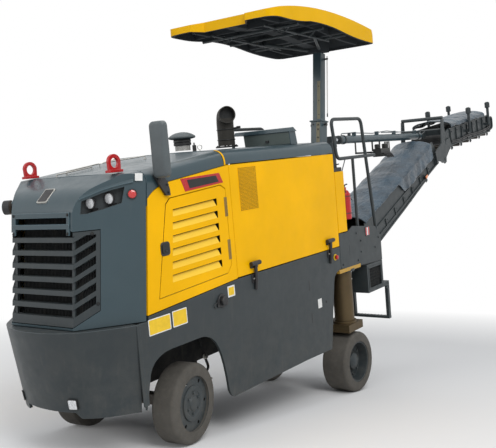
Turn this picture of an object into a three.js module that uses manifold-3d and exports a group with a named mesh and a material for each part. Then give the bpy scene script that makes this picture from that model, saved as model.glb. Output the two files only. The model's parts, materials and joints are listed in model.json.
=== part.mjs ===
// Compact wheeled cold planer (milling machine), standing raised on its rear lifting legs.
// Millimetres. +X is the machine's left, -Y its front, +Z up. The origin is on the ground, under
// the middle of the machine's bounding box.
import * as THREE from 'three';
import Module from 'manifold-3d';
import { mergeVertices } from 'three/addons/utils/BufferGeometryUtils.js';

const wasm = await Module();
wasm.setup();

// ---------------------------------------------------------------- driving dimensions
const WHEEL_R = 300;
const FRONT_TYRE = { inner: 416, width: 198 };
const REAR_TYRE = { inner: 377, width: 269 };
const BODY_PITCH = THREE.MathUtils.degToRad(8.51);
const STEER_REST = THREE.MathUtils.degToRad(8.55);
const REAR_AXLE_Y = 2528;
const REAR_AXLE_Z = WHEEL_R - REAR_AXLE_Y * Math.tan(BODY_PITCH);
const ORIGIN_Y = 3450.5;

const HALF = 640;
const SKIN = 24;
const GAP = 5;
const RAKE = 0.136;
const RAKE_Z = 1123;
const HOOD_FALL = 0.108;
const SEAM_Y = 588;
const DECK_Z = 1112;
const DECK_REAR = 3206;

const LEG_X = REAR_TYRE.inner + REAR_TYRE.width / 2;
const LEG_R = 100;
const GUIDE_R = 110;
const GUIDE_Z = [850, 1238];
const KING_X = 415;

const SLEW_Y = 3403;
const BOOM_PIVOT = [3480, 905];
const BOOM_RISE = Math.atan(0.381);
const BOOM_LENGTH = 2610;
const FOLD_PIN = [6052, 1782];
const HEAD_RISE = THREE.MathUtils.degToRad(5.5);
const HEAD_LENGTH = 2240;
const BELT_HALF = 205;

// ---------------------------------------------------------------- materials
const paint = (color, roughness = 0.5, metalness = 0.2) =>
  new THREE.MeshStandardMaterial({ color, roughness, metalness });
const slate = paint(0x454c4f, 0.55);
const slateLight = paint(0x505c60, 0.5);
const yellow = paint(0xf7b900, 0.4, 0.1);
const canopyYellow = paint(0xdfaa00, 0.45, 0.1);
const red = paint(0xb5191c, 0.4, 0.1);
const black = paint(0x1b1c1d, 0.6, 0.1);
const rubber = paint(0x3b3935, 0.9, 0);
const tarpaulin = paint(0x2f3f4c, 0.6, 0);
const castIron = paint(0x55504a, 0.7, 0.5);
const ochreSteel = paint(0x6d5d42, 0.6, 0.5);
const chrome = paint(0xc8ccd0, 0.15, 1);

// ---------------------------------------------------------------- geometry helpers
const box = (x0, x1, y0, y1, z0, z1) =>
  new THREE.BoxGeometry(x1 - x0, y1 - y0, z1 - z0)
    .translate((x0 + x1) / 2, (y0 + y1) / 2, (z0 + z1) / 2);

// A closed outline from points, or from a ready-made THREE.Shape.
const shapeOf = (outline) =>
  outline instanceof THREE.Shape ? outline : new THREE.Shape(outline.map(([a, b]) => new THREE.Vector2(a, b)));

const extrude = (outline, depth, extra = {}) =>
  new THREE.ExtrudeGeometry(shapeOf(outline), { depth, bevelEnabled: false, curveSegments: 6, ...extra });

// Outline in (y, z), extruded along X from x0 to x1.
const alongX = (outline, x0, x1) => {
  const turn = new THREE.Matrix4().set(0, 0, 1, x0, 1, 0, 0, 0, 0, 1, 0, 0, 0, 0, 0, 1);
  return extrude(outline, x1 - x0).applyMatrix4(turn);
};

// Outline in (x, z), extruded along Y from y0 to y1.
const alongY = (outline, y0, y1, steps = 1) =>
  extrude(outline, y1 - y0, { steps }).rotateX(Math.PI / 2).translate(0, y1, 0);

// Outline in (x, y), extruded along Z from z0 to z1.
const alongZ = (outline, z0, z1) => extrude(outline, z1 - z0).translate(0, 0, z0);

// A round bar between two points.
const bar = (from, to, radius, sides = 12) => {
  const a = new THREE.Vector3(...from);
  const b = new THREE.Vector3(...to);
  const axis = new THREE.Vector3().subVectors(b, a);
  const turn = new THREE.Quaternion().setFromUnitVectors(new THREE.Vector3(0, 1, 0), axis.clone().normalize());
  return new THREE.CylinderGeometry(radius, radius, axis.length(), sides)
    .applyQuaternion(turn)
    .translate(...a.add(b).multiplyScalar(0.5).toArray());
};

// A round tube that follows points, bent smoothly at each corner.
const bentTube = (points, radius, bend, pitch = 110, sides = 6) => {
  const path = new THREE.CurvePath();
  const p = points.map((q) => new THREE.Vector3(...q));
  let last = p[0];
  for (let i = 1; i < p.length - 1; i += 1) {
    const into = p[i].clone().addScaledVector(p[i - 1].clone().sub(p[i]).normalize(), bend);
    const out = p[i].clone().addScaledVector(p[i + 1].clone().sub(p[i]).normalize(), bend);
    path.add(new THREE.LineCurve3(last, into));
    path.add(new THREE.QuadraticBezierCurve3(into, p[i], out));
    last = out;
  }
  path.add(new THREE.LineCurve3(last, p[p.length - 1]));
  const section = new THREE.Shape().absarc(0, 0, radius, 0, 2 * Math.PI);
  return new THREE.ExtrudeGeometry(section, {
    extrudePath: path, steps: Math.max(10, Math.round(path.getLength() / pitch)), curveSegments: sides / 2,
    bevelEnabled: false,
  });
};

// Every vertex moved by a function of (x, y, z).
const deform = (geometry, move) => {
  const p = geometry.attributes.position;
  for (let i = 0; i < p.count; i += 1) {
    p.setXYZ(i, ...move(p.getX(i), p.getY(i), p.getZ(i)));
  }
  return geometry;
};

const solid = (geometry) => {
  const g = geometry.clone();
  g.deleteAttribute('normal');
  g.deleteAttribute('uv');
  const merged = mergeVertices(g, 1e-3);
  return new wasm.Manifold(new wasm.Mesh({
    numProp: 3,
    vertProperties: new Float32Array(merged.attributes.position.array),
    triVerts: new Uint32Array(merged.index.array),
  }));
};

const geometryOf = (manifold) => {
  const mesh = manifold.getMesh();
  const g = new THREE.BufferGeometry();
  g.setAttribute('position', new THREE.BufferAttribute(new Float32Array(mesh.vertProperties), 3));
  g.setIndex(new THREE.BufferAttribute(new Uint32Array(mesh.triVerts), 1));
  g.computeVertexNormals();
  return g;
};

const join = (...parts) => geometryOf(parts.map(solid).reduce((a, b) => a.add(b)));
const cut = (base, ...tools) => geometryOf(tools.map(solid).reduce((a, b) => a.subtract(b), solid(base)));
const common = (...parts) => geometryOf(parts.map(solid).reduce((a, b) => a.intersect(b)));

// The same solid on the machine's other side, its faces still pointing out.
const mirrorX = (geometry) => {
  const g = geometry.index ? geometry.toNonIndexed() : geometry.clone();
  const p = g.attributes.position;
  for (let i = 0; i < p.count; i += 3) {
    const corner = [0, 1, 2].map((k) => [-p.getX(i + k), p.getY(i + k), p.getZ(i + k)]);
    p.setXYZ(i, ...corner[0]);
    p.setXYZ(i + 1, ...corner[2]);
    p.setXYZ(i + 2, ...corner[1]);
  }
  g.computeVertexNormals();
  return g;
};

// ---------------------------------------------------------------- scene graph
const machine = new THREE.Group();
machine.position.set(0, -ORIGIN_Y, 0);

// The body leans nose-down about the front axle's centre.
const body = new THREE.Group();
const lean = new THREE.Group();
lean.position.set(0, 0, WHEEL_R);
lean.rotation.x = BODY_PITCH;
body.position.set(0, 0, -WHEEL_R);
lean.add(body);
machine.add(lean);

const add = (group, name, geometry, material) => {
  const mesh = new THREE.Mesh(geometry, material);
  mesh.name = name;
  group.add(mesh);
  return mesh;
};

const addPair = (group, name, geometry, material) => {
  add(group, `${name}_left`, geometry, material);
  add(group, `${name}_right`, mirrorX(geometry), material);
};

// ---------------------------------------------------------------- chassis
function mainFrame() {
  const rail = (side) => box(side > 0 ? 310 : -370, side > 0 ? 370 : -310, -500, 3170, 800, 960);
  const legTube = (side, radius, z0, z1) =>
    bar([side * LEG_X, REAR_AXLE_Y, z0], [side * LEG_X, REAR_AXLE_Y, z1], radius, 24);
  const arm = (side) => box(side > 0 ? 360 : -460, side > 0 ? 460 : -360, REAR_AXLE_Y - 90, REAR_AXLE_Y + 90, 870, 1060);
  const crossing = (y0, y1, z0 = 810, z1 = 950) => box(-320, 320, y0, y1, z0, z1);
  const axleEar = (y0, y1) => box(-70, 70, y0, y1, 300, 820);
  const slewLug = (z0, z1) => alongZ([[-150, 3150], [150, 3150], [85, SLEW_Y + 70], [-85, SLEW_Y + 70]], z0, z1);
  const whole = join(
    rail(1), rail(-1), legTube(1, GUIDE_R, ...GUIDE_Z), legTube(-1, GUIDE_R, ...GUIDE_Z), arm(1), arm(-1),
    crossing(-500, -420), crossing(-100, 100), crossing(1250, 1330), crossing(2290, 2370, 830, 930),
    axleEar(-95, -65), axleEar(65, 95),
    crossing(3090, 3170, 805, 980), box(-150, 150, 3090, 3170, 800, 1090), slewLug(1055, 1090), box(-150, 150, 3130, 3170, 655, 820),
    slewLug(655, 690),
  );
  const pinHole = bar([0, SLEW_Y, 500], [0, SLEW_Y, 1200], 41, 20);
  return cut(whole, legTube(1, LEG_R + 0.6, 700, 1400), legTube(-1, LEG_R + 0.6, 700, 1400), pinHole);
}

function frontAxle() {
  const beam = box(-345, 345, -55, 55, 262, 338);
  const yoke = (side) => {
    const near = side > 0 ? [300, 345] : [-345, -300];
    const ears = side > 0 ? [300, 450] : [-450, -300];
    return [
      box(...near, -45, 45, 190, 410),
      box(...ears, -40, 40, 385, 410),
      box(...ears, -40, 40, 190, 215),
    ];
  };
  const pivot = bar([0, -56, 300], [0, 56, 300], 42, 16);
  return join(beam, ...yoke(1), ...yoke(-1), pivot);
}

function knuckle() {
  const barrel = bar([KING_X, 0, 218], [KING_X, 0, 382], 36, 16);
  const spindle = bar([KING_X, 0, 300], [KING_X + 146, 0, 300], 32, 16);
  const steeringArm = box(KING_X - 16, KING_X + 16, 0, 135, 330, 350);
  return join(barrel, spindle, steeringArm);
}

function tyre(width) {
  const inner = 205;
  const shoulder = 24;
  const profile = [
    [inner, 4], [WHEEL_R - shoulder, 0], [WHEEL_R - 6, 8], [WHEEL_R, 26],
    [WHEEL_R, width - 26], [WHEEL_R - 6, width - 8], [WHEEL_R - shoulder, width],
    [inner, width - 4], [inner, 4],
  ];
  return new THREE.LatheGeometry(profile.map(([r, a]) => new THREE.Vector2(r, a)), 32).rotateZ(-Math.PI / 2);
}

function rim(width, web, boreR, boreEnd) {
  const barrel = 203.4;
  const lip = 186;
  const profile = [
    [0, boreEnd], [boreR, boreEnd], [boreR, web - 40], [boreR + 40, web - 40], [boreR + 40, web],
    [lip, web], [lip, 8], [barrel, 8], [barrel, width - 8], [lip + 8, width - 8],
    [lip - 4, web + 24], [boreR + 40, web + 24], [boreR + 30, boreEnd + 20], [0, boreEnd + 20], [0, boreEnd],
  ];
  return new THREE.LatheGeometry(profile.map(([r, a]) => new THREE.Vector2(r, a)), 24).rotateZ(-Math.PI / 2);
}

function rearLeg() {
  const column = bar([LEG_X, REAR_AXLE_Y, 310], [LEG_X, REAR_AXLE_Y, 948], LEG_R, 24);
  const collar = bar([LEG_X, REAR_AXLE_Y, 318], [LEG_X, REAR_AXLE_Y, 345], LEG_R + 18, 24);
  const flange = box(312, 634, REAR_AXLE_Y - 140, REAR_AXLE_Y + 150, 244, 322);
  const cheek = alongX([
    [REAR_AXLE_Y - 95, 244], [REAR_AXLE_Y - 80, -110], [REAR_AXLE_Y - 40, -165], [REAR_AXLE_Y + 40, -165],
    [REAR_AXLE_Y + 80, -110], [REAR_AXLE_Y + 95, 244], [REAR_AXLE_Y + 95, 260], [REAR_AXLE_Y - 95, 260],
  ], 312, 360);
  const motor = bar([355, REAR_AXLE_Y, REAR_AXLE_Z], [REAR_TYRE.inner + 148, REAR_AXLE_Y, REAR_AXLE_Z], 88, 20);
  return join(column, collar, flange, cheek, motor);
}

function drumHousing() {
  const outer = box(-290, 290, 1400, 2215, 262, 905);
  const inner = box(-272, 272, 1418, 2197, 200, 887);
  const feed = alongX([[2205, 330], [2205, 640], [2700, 880], [3080, 1040], [3080, 830], [2400, 330]], -170, 170);
  return join(cut(outer, inner), feed);
}

// Tanks under the frame: one ahead of the axle and one behind it, joined beside its bearing.
function bellyTank() {
  return join(
    box(-190, 190, -480, -120, 430, 790), box(-190, 190, 120, 1240, 430, 790),
    box(84, 190, -130, 130, 600, 790), box(-190, -84, -130, 130, 600, 790),
  );
}

function millingDrum() {
  return bar([-250, 1800, 560], [250, 1800, 560], 305, 28);
}

// ---------------------------------------------------------------- lower body
function sidePlate() {
  const s = new THREE.Shape();
  s.moveTo(-496, LEDGE_Z);
  s.lineTo(-404, LEDGE_Z);
  s.lineTo(-398, 1052);
  s.lineTo(668, 1119);
  s.lineTo(2306, 1122);
  s.lineTo(2306, 905);
  s.lineTo(2270, 900);
  s.quadraticCurveTo(2165, 885, 2153, 800);
  s.lineTo(2023, 184);
  s.lineTo(1575, 201);
  s.lineTo(470, 215);
  s.quadraticCurveTo(430, 230, 414, 284);
  s.quadraticCurveTo(380, 640, 264, 728);
  s.quadraticCurveTo(200, 774, 115, 774);
  s.lineTo(-199, 774);
  s.quadraticCurveTo(-380, 770, -430, 660);
  s.lineTo(-496, 420);
  s.closePath();
  return alongX(s, HALF - SKIN, HALF);
}

// Plan of the bumper skirt in (x, y): a bowed front whose corners are cut back to the sides.
function skirtPlan(inset, rear) {
  const half = HALF - inset;
  const s = new THREE.Shape();
  s.moveTo(half, rear);
  s.lineTo(half, -490 + inset / 2);
  s.quadraticCurveTo(half, -537 + inset / 2, 574 - 0.75 * inset, -612 + 0.66 * inset);
  s.lineTo(470 - 0.75 * inset, -730 + 0.66 * inset);
  s.quadraticCurveTo(395 - 0.6 * inset, -815 + 0.8 * inset, 259 - 0.3 * inset, -862 + inset);
  s.quadraticCurveTo(140, -903 + inset, 0, -903 + inset);
  s.quadraticCurveTo(-140, -903 + inset, -259 + 0.3 * inset, -862 + inset);
  s.quadraticCurveTo(-395 + 0.6 * inset, -815 + 0.8 * inset, -470 + 0.75 * inset, -730 + 0.66 * inset);
  s.lineTo(-574 + 0.75 * inset, -612 + 0.66 * inset);
  s.quadraticCurveTo(-half, -537 + inset / 2, -half, -490 + inset / 2);
  s.lineTo(-half, rear);
  s.closePath();
  return s;
}

const LEDGE_Z = 1020;

function frontSkirt() {
  const slope = (x, y, z) => [x, y < -470 ? y + 0.15 * (LEDGE_Z - z) : y, z];
  const outer = deform(alongZ(skirtPlan(0, -460), 405, LEDGE_Z), slope);
  const inner = deform(alongZ(skirtPlan(SKIN, -300), 300, LEDGE_Z - 20), slope);
  const hole = alongZ(skirtPlan(150, -300), LEDGE_Z - 30, LEDGE_Z + 20);
  const notch = alongY([[-285, 300], [285, 300], [285, 395], [240, 448], [-262, 448], [-275, 395]], -1000, -560);
  const rear = box(-700, 700, -501, 0, 300, 1100);
  return cut(outer, inner, hole, notch, rear);
}

// ---------------------------------------------------------------- hood
const rake = (x, y, z) => [x, y + RAKE * (z - RAKE_Z), z];
const fall = (x, y, z) => [x, y, z + HOOD_FALL * Math.min(0, y - SEAM_Y)];

// Cross section of the hood in (x, z): walls at half, shoulders rounded up to the crown.
function hoodSection(half, crown, foot) {
  const s = new THREE.Shape();
  s.moveTo(-half, foot);
  s.lineTo(half, foot);
  s.lineTo(half, crown - 110);
  s.quadraticCurveTo(half - 4, crown - 22, half - 90, crown - 12);
  s.quadraticCurveTo(0, crown + 10, -half + 90, crown - 12);
  s.quadraticCurveTo(-half + 4, crown - 22, -half, crown - 110);
  s.closePath();
  return s;
}

// Side view of the nose's top in (y, z), rounding over from the raked front.
function noseProfile(shift) {
  const s = new THREE.Shape();
  s.moveTo(-795 + shift, 900);
  s.lineTo(-800 + shift, RAKE_Z);
  s.lineTo(-702 + shift, 1790 - shift / 2);
  s.quadraticCurveTo(-672 + shift, 1915 - shift, -560 + shift, 1968 - shift);
  s.lineTo(-401, 2040 - shift);
  s.lineTo(-300, 2200);
  s.lineTo(200, 2200);
  s.lineTo(200, 900);
  s.closePath();
  return s;
}

const NOSE = { front: -790, kink: 322, rear: -410, foot: 1026 };
const WING_SLOPE = 1.15;
const GRILLE = { edge: 445, frame: 24, rise: 0.8, z0: 1040, wingTop: 1680, z1: 1698 };

// Plan of the nose in (x, y): flat front, wings swept back, then rounded into the sides.
function nosePlan(inset, rear) {
  const half = HALF - inset;
  const front = NOSE.front + inset;
  const kink = NOSE.kink - 0.456 * inset;
  const turn = [490 - 0.755 * inset, -597 + 0.656 * inset];
  const s = new THREE.Shape();
  s.moveTo(half, rear);
  s.lineTo(half, -404);
  s.quadraticCurveTo(half - 12, -438 + 0.4 * inset, ...turn);
  s.lineTo(kink, front);
  s.lineTo(-kink, front);
  s.lineTo(-turn[0], turn[1]);
  s.quadraticCurveTo(-half + 12, -438 + 0.4 * inset, -half, -404);
  s.lineTo(-half, rear);
  s.closePath();
  return s;
}

function noseShell() {
  const outer = common(
    deform(alongZ(nosePlan(0, 100), 1000, 2150), rake),
    alongX(noseProfile(0), -700, 700),
    deform(alongY(hoodSection(HALF, 2153, 900), -1000, 100), fall),
    deform(box(-700, 700, -1000, NOSE.rear, NOSE.foot, 2300), rake),
  );
  const inner = common(
    deform(alongZ(nosePlan(SKIN, 200), 900, 2150), rake),
    alongX(noseProfile(SKIN), -700, 700),
    deform(alongY(hoodSection(HALF - SKIN, 2153 - SKIN, 800), -1000, 160), fall),
  );
  const lift = GRILLE.rise * (GRILLE.edge - NOSE.kink);
  const mouth = deform(alongY([
    [-NOSE.kink, GRILLE.z0], [NOSE.kink, GRILLE.z0], [GRILLE.edge, GRILLE.z0 + lift],
    [GRILLE.edge, GRILLE.wingTop], [NOSE.kink, GRILLE.wingTop], [276, GRILLE.z1],
    [-276, GRILLE.z1], [-NOSE.kink, GRILLE.wingTop], [-GRILLE.edge, GRILLE.wingTop],
    [-GRILLE.edge, GRILLE.z0 + lift],
  ], -1100, -560), rake);
  const slot = deform(box(-270, 270, -1000, -660, 1733, 1775), rake);
  return cut(outer, inner, mouth, slot);
}

// The grille: bars across the flat front that sweep up over the wings into a bolted frame.
function grille() {
  const inner = GRILLE.edge - GRILLE.frame;
  const sweep = (x, y, z) => [x, y, z + GRILLE.rise * Math.max(0, Math.abs(x) - NOSE.kink)];
  const front = NOSE.front + 8;
  const plan = (out, depth) => {
    const back = front + WING_SLOPE * (out - NOSE.kink);
    return [
      [-out, back], [-NOSE.kink, front], [NOSE.kink, front], [out, back],
      [out, back + depth], [NOSE.kink - 0.456 * depth, front + depth],
      [-NOSE.kink + 0.456 * depth, front + depth], [-out, back + depth],
    ];
  };
  const edge = GRILLE.edge - 6;
  const lift = GRILLE.rise * (edge - NOSE.kink);
  const outline = [
    [-NOSE.kink, GRILLE.z0 + 6], [NOSE.kink, GRILLE.z0 + 6], [edge, GRILLE.z0 + 6 + lift],
    [edge, GRILLE.wingTop - 6], [-edge, GRILLE.wingTop - 6], [-edge, GRILLE.z0 + 6 + lift],
  ];
  const within = alongY(outline, -1200, -400);
  const bars = [];
  for (let i = 0; i < 7; i += 1) {
    const z = 1073 + 89 * i;
    bars.push(common(deform(alongZ(plan(edge, 46), z, z + 34), sweep), within));
  }
  const foot = common(deform(alongZ(plan(edge, 30), GRILLE.z0 + 6, 1074), sweep), within);
  const post = (x0, x1) => box(x0, x1, front + 20, front + 34, GRILLE.z0 + 10, 1640);
  const side = (sign) => {
    const [x0, x1] = sign > 0 ? [inner, edge] : [-edge, -inner];
    return common(alongZ(plan(edge, 30), 1060, 1700), box(x0, x1, -900, -400, 1060, 1700), within);
  };
  const top = (sign) => {
    const [x0, x1] = sign > 0 ? [NOSE.kink - 4, edge] : [-edge, -NOSE.kink + 4];
    return common(alongZ(plan(edge, 30), 1648, 1700), box(x0, x1, -900, -400, 1640, 1700), within);
  };
  return deform(
    join(...bars, foot, side(1), side(-1), top(1), top(-1), post(-314, -290), post(290, 314)),
    rake,
  );
}

function hoodTopFront() {
  const outer = deform(alongY(hoodSection(HALF, 2153, 1900), -500, SEAM_Y - 5), fall);
  const inner = deform(alongY(hoodSection(HALF - SKIN, 2153 - SKIN, 1800), -600, SEAM_Y + 50), fall);
  const front = deform(box(-700, 700, -900, -404, 1500, 2300), rake);
  const below = alongX(surroundOutline(GAP), -700, 700);
  return cut(outer, inner, front, below);
}

function hoodTopRear() {
  const outer = alongY(hoodSection(HALF, 2156, 2030), SEAM_Y, 2300);
  const inner = alongY(hoodSection(HALF - SKIN, 2156 - SKIN, 1900), SEAM_Y - 50, 2276);
  const airBox = alongX([[1705, 2145], [1690, 2262], [1702, 2290], [1740, 2294], [1790, 2258], [1815, 2145]], 50, 560);
  const lid = alongX([[1676, 2262], [1686, 2294], [1744, 2299], [1798, 2260]], -45, 572);
  return join(cut(outer, inner), airBox, lid);
}

// Outline in (y, z) of the yellow panel around the louvred door.
function surroundOutline(grow) {
  const s = new THREE.Shape();
  s.moveTo(-404 - grow, 1058 - grow);
  s.lineTo(640 + grow, 1123 - grow);
  s.lineTo(640 + grow, 2024 + grow);
  s.lineTo(-52, 1949 + grow);
  s.quadraticCurveTo(-210 - grow, 1930 + grow, -298 - grow, 1850);
  s.closePath();
  return s;
}

function sideSurround() {
  const s = surroundOutline(0);
  const opening = new THREE.Shape(doorOutline(GAP).map(([a, b]) => new THREE.Vector2(a, b)));
  return cut(alongX(s, HALF - SKIN, HALF), alongX(opening, HALF - 60, HALF + 60));
}

function doorOutline(grow) {
  return [
    [-271 - grow, 1150 - grow], [522 + grow, 1190 - grow], [573 + grow, 1250 - grow],
    [573 + grow, 1838 + grow], [515 + grow, 1872 + grow], [-70 - grow, 1830 + grow], [-118 - grow, 1790 + grow],
  ];
}

function louvreDoor() {
  const leaf = alongX(doorOutline(0), HALF - SKIN + 2, HALF);
  const louvres = [];
  const count = 6;
  for (let i = 0; i < count; i += 1) {
    const low = 1262 + 98 * i;
    const front = -122 + 62 * (i / (count - 1));
    louvres.push(alongX([[front, low], [455, low + 28], [455, low + 54], [front + 12, low + 28]], HALF - 60, HALF + 10));
  }
  return cut(leaf, ...louvres);
}

function rearCover() {
  return box(HALF - SKIN, HALF, 645, 2304, 1129, 2022);
}

// Rear wall of the body, with a boxed yellow strip at each side behind the rear covers.
function rearBulkhead() {
  const strip = (side) => {
    const across = (a, b) => (side > 0 ? [a, b] : [-b, -a]);
    return [
      box(...across(HALF - SKIN - 16, HALF), 2312, 2486, 1254, 1846),
      box(...across(540, HALF), 2462, 2486, 1254, 1846),
      box(...across(540, HALF - 2), 2312, 2486, 1822, 1846),
    ];
  };
  const wall = box(-HALF + 30, HALF - 30, 2312, 2326, DECK_Z + 2, 2020);
  return join(wall, ...strip(1), ...strip(-1));
}

// ---------------------------------------------------------------- operator's platform
function platform() {
  const side = new THREE.Shape();
  side.moveTo(2311, 905);
  side.lineTo(2311, 1248);
  side.lineTo(2500, 1243);
  side.lineTo(2600, 1288);
  side.lineTo(3090, 1226);
  side.lineTo(DECK_REAR, 1100);
  side.lineTo(DECK_REAR, 850);
  side.lineTo(2700, 872);
  side.closePath();
  const wall = (x0, x1) => alongX(side, x0, x1);
  const well = (side) => bar([side * LEG_X, REAR_AXLE_Y, 1000], [side * LEG_X, REAR_AXLE_Y, 1200], GUIDE_R + GAP, 24);
  const deck = cut(box(-HALF, HALF, 2311, DECK_REAR, 1093, DECK_Z), well(1), well(-1));
  const mat = box(-560, 560, 2664, 2884, DECK_Z - 1, DECK_Z + 4);
  return join(deck, mat, wall(HALF - 12, HALF), wall(-HALF, -HALF + 12));
}

function guardRail() {
  const x = 606;
  const foot = DECK_Z + 4;
  const loop = bentTube([[x, 3180, foot], [x, 2990, 2353], [x, 2372, 2353], [x, 2440, 1967], [x, 3250, 1967]], 17, 70);
  const post = bar([x, 2766, foot], [x, 2760, 1967], 15, 8);
  return join(loop, post);
}

function rearBox() {
  const outer = box(455, HALF, 2845, 3200, 556, 848);
  const inner = box(467, HALF - 12, 2857, 3188, 568, 836);
  const window = box(600, 700, 2885, 3160, 600, 806);
  return cut(outer, inner, window);
}

function rearStep() {
  const y = 3318;
  const post = box(600, 636, y - 22, y + 22, 186, 600);
  const tread = box(190, 636, y - 26, y + 26, 186, 212);
  const innerPost = box(190, 226, y - 22, y + 22, 186, 552);
  const arm = (x0, x1) => box(x0, x1, 3202, y + 22, 552, 600);
  return join(post, tread, innerPost, arm(600, 636), box(190, 636, y - 22, y + 22, 552, 600));
}

// ---------------------------------------------------------------- mast and canopy
const MAST = { y: 3161, z: 2162, half: 50, wall: 65, top: 962 };
const mastAxis = new THREE.Group();
mastAxis.position.set(0, MAST.y, MAST.z);
mastAxis.rotation.x = -BODY_PITCH;
body.add(mastAxis);

function mastSleeve() {
  const bottom = -1050;
  const outer = box(-MAST.wall, MAST.wall, -MAST.wall, MAST.wall, bottom, 218);
  const foot = box(-120, 120, -100, 100, bottom + 22, bottom + 44);
  const inner = box(-MAST.half - 1, MAST.half + 1, -MAST.half - 1, MAST.half + 1, bottom + 60, 400);
  const collar = box(-MAST.wall - 12, MAST.wall + 12, -MAST.wall - 12, MAST.wall + 12, 206, 222);
  return cut(join(outer, foot, collar), inner);
}

function mastPost() {
  return box(-MAST.half, MAST.half, -MAST.half, MAST.half, -330, MAST.top);
}

// Side outline of the arched roof in (y, z), pulled in by shrink all round.
function roofProfile(shrink, floor) {
  const s = new THREE.Shape();
  s.moveTo(1490 + shrink, 3262 + floor);
  s.lineTo(1500 + shrink, 3326 - shrink);
  s.quadraticCurveTo(1830, 3385 - shrink, 2226, 3387 - shrink);
  s.quadraticCurveTo(2760, 3385 - shrink, 3364 - shrink, 3280 - shrink);
  s.lineTo(3458 - shrink, 3166 - shrink / 2);
  s.lineTo(3456 - shrink, 3140 + floor);
  s.quadraticCurveTo(3050, 3150 + floor, 2690, 3216 + floor);
  s.quadraticCurveTo(2420, 3262 + floor, 2120, 3260 + floor);
  s.quadraticCurveTo(1940, 3240 + floor, 1780, 3246 + floor);
  s.closePath();
  return s;
}

// Plan of the roof in (x, y): its front edge is set back between two corner lobes.
function roofPlan(half, inset) {
  const front = 1480 + inset;
  const rear = 3440 - inset;
  const s = new THREE.Shape();
  s.moveTo(half - 80, rear + 10);
  s.quadraticCurveTo(0, rear + 36, -half + 80, rear + 10);
  s.quadraticCurveTo(-half, rear, -half, rear - 90);
  s.lineTo(-half, front + 150);
  s.quadraticCurveTo(-half, front + 40, -half + 90, front + 20);
  s.lineTo(-325, front);
  s.lineTo(-235, front + 130);
  s.lineTo(235, front + 130);
  s.lineTo(325, front);
  s.lineTo(half - 90, front + 20);
  s.quadraticCurveTo(half, front + 40, half, front + 150);
  s.lineTo(half, rear - 90);
  s.quadraticCurveTo(half, rear, half - 80, rear + 10);
  s.closePath();
  return s;
}

function canopy() {
  const shell = common(alongX(roofProfile(0, 0), -700, 700), alongZ(roofPlan(618, 0), 3000, 3500));
  const hollow = common(alongX(roofProfile(14, -200), -700, 700), alongZ(roofPlan(592, 26), 2800, 3500));
  const rib = (x0, x1, y0, y1) => common(alongX(roofProfile(10, 16), x0, x1), box(-700, 700, y0, y1, 3100, 3400));
  const rail = (x0, x1) => rib(x0, x1, 1640, 3400);
  const crossRib = (y) => rib(-600, 600, y, y + 46);
  const mastHead = box(-80, 80, 3190, 3390, 3122, 3250);
  const brackets = join(rail(-60, 60), rail(-420, -390), rail(390, 420), crossRib(1900), crossRib(2350),
    crossRib(2800), mastHead);
  return join(cut(shell, hollow), brackets);
}

// ---------------------------------------------------------------- fittings on the hood
function exhaust() {
  const stack = bentTube([[0, 1490, 2166], [0, 1490, 2452], [62, 1382, 2462]], 79, 100, 40, 14);
  const flange = bar([0, 1490, 2166], [0, 1490, 2182], 104, 16);
  const bore = bar([20, 1455, 2459], [80, 1351, 2464], 70, 14);
  return cut(join(stack, flange), bore);
}

function precleaner() {
  const profile = [
    [0, 0], [68, 0], [68, 46], [74, 50], [74, 98], [116, 108], [116, 120], [60, 152], [0, 158],
  ];
  return new THREE.LatheGeometry(profile.map(([r, a]) => new THREE.Vector2(r, a)), 20)
    .rotateX(Math.PI / 2).translate(0, 868, 2166);
}

function mirror() {
  const head = alongY([
    [646, 2006], [646, 2344], [668, 2371], [762, 2373], [784, 2346], [784, 2010], [762, 1984], [668, 1982],
  ], -240, -178);
  const arm = alongX([[-128, 1856], [-84, 1852], [-150, 2010], [-232, 2010]], 646, 676);
  return join(head, arm);
}

// A round work lamp on a short arm, standing out from the right side of the nose.
function sideLamp() {
  const lamp = bar([-711, -398, 1838], [-759, -422, 1838], 56, 20);
  const arm = box(-726, -HALF - 1, -330, -290, 1790, 1806);
  const stand = alongY([[-744, 1790], [-706, 1790], [-706, 1850], [-744, 1850]], -410, -290);
  return join(lamp, arm, stand);
}

// A flat teardrop plate with a round eye, standing on a block.
function liftingRing() {
  const y = -394;
  const z = 2114;
  const plate = new THREE.Shape();
  plate.moveTo(y - 54, 2062);
  plate.lineTo(y + 54, 2062);
  plate.lineTo(y + 57, z);
  plate.absarc(y, z, 60, 0.2, Math.PI - 0.2, false);
  plate.lineTo(y - 57, z);
  plate.closePath();
  const eye = bar([400, y, z], [500, y, z], 35, 16);
  return cut(join(alongX(plate, 436, 458), box(420, 474, y - 60, y + 60, 2048, 2066)), eye);
}

function extinguisher() {
  const profile = [[0, 0], [52, 0], [56, 12], [56, 250], [34, 285], [18, 290], [18, 318], [0, 318]];
  return new THREE.LatheGeometry(profile.map(([r, a]) => new THREE.Vector2(r, a)), 20)
    .rotateX(Math.PI / 2).translate(575, 2600, 1360);
}

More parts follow.
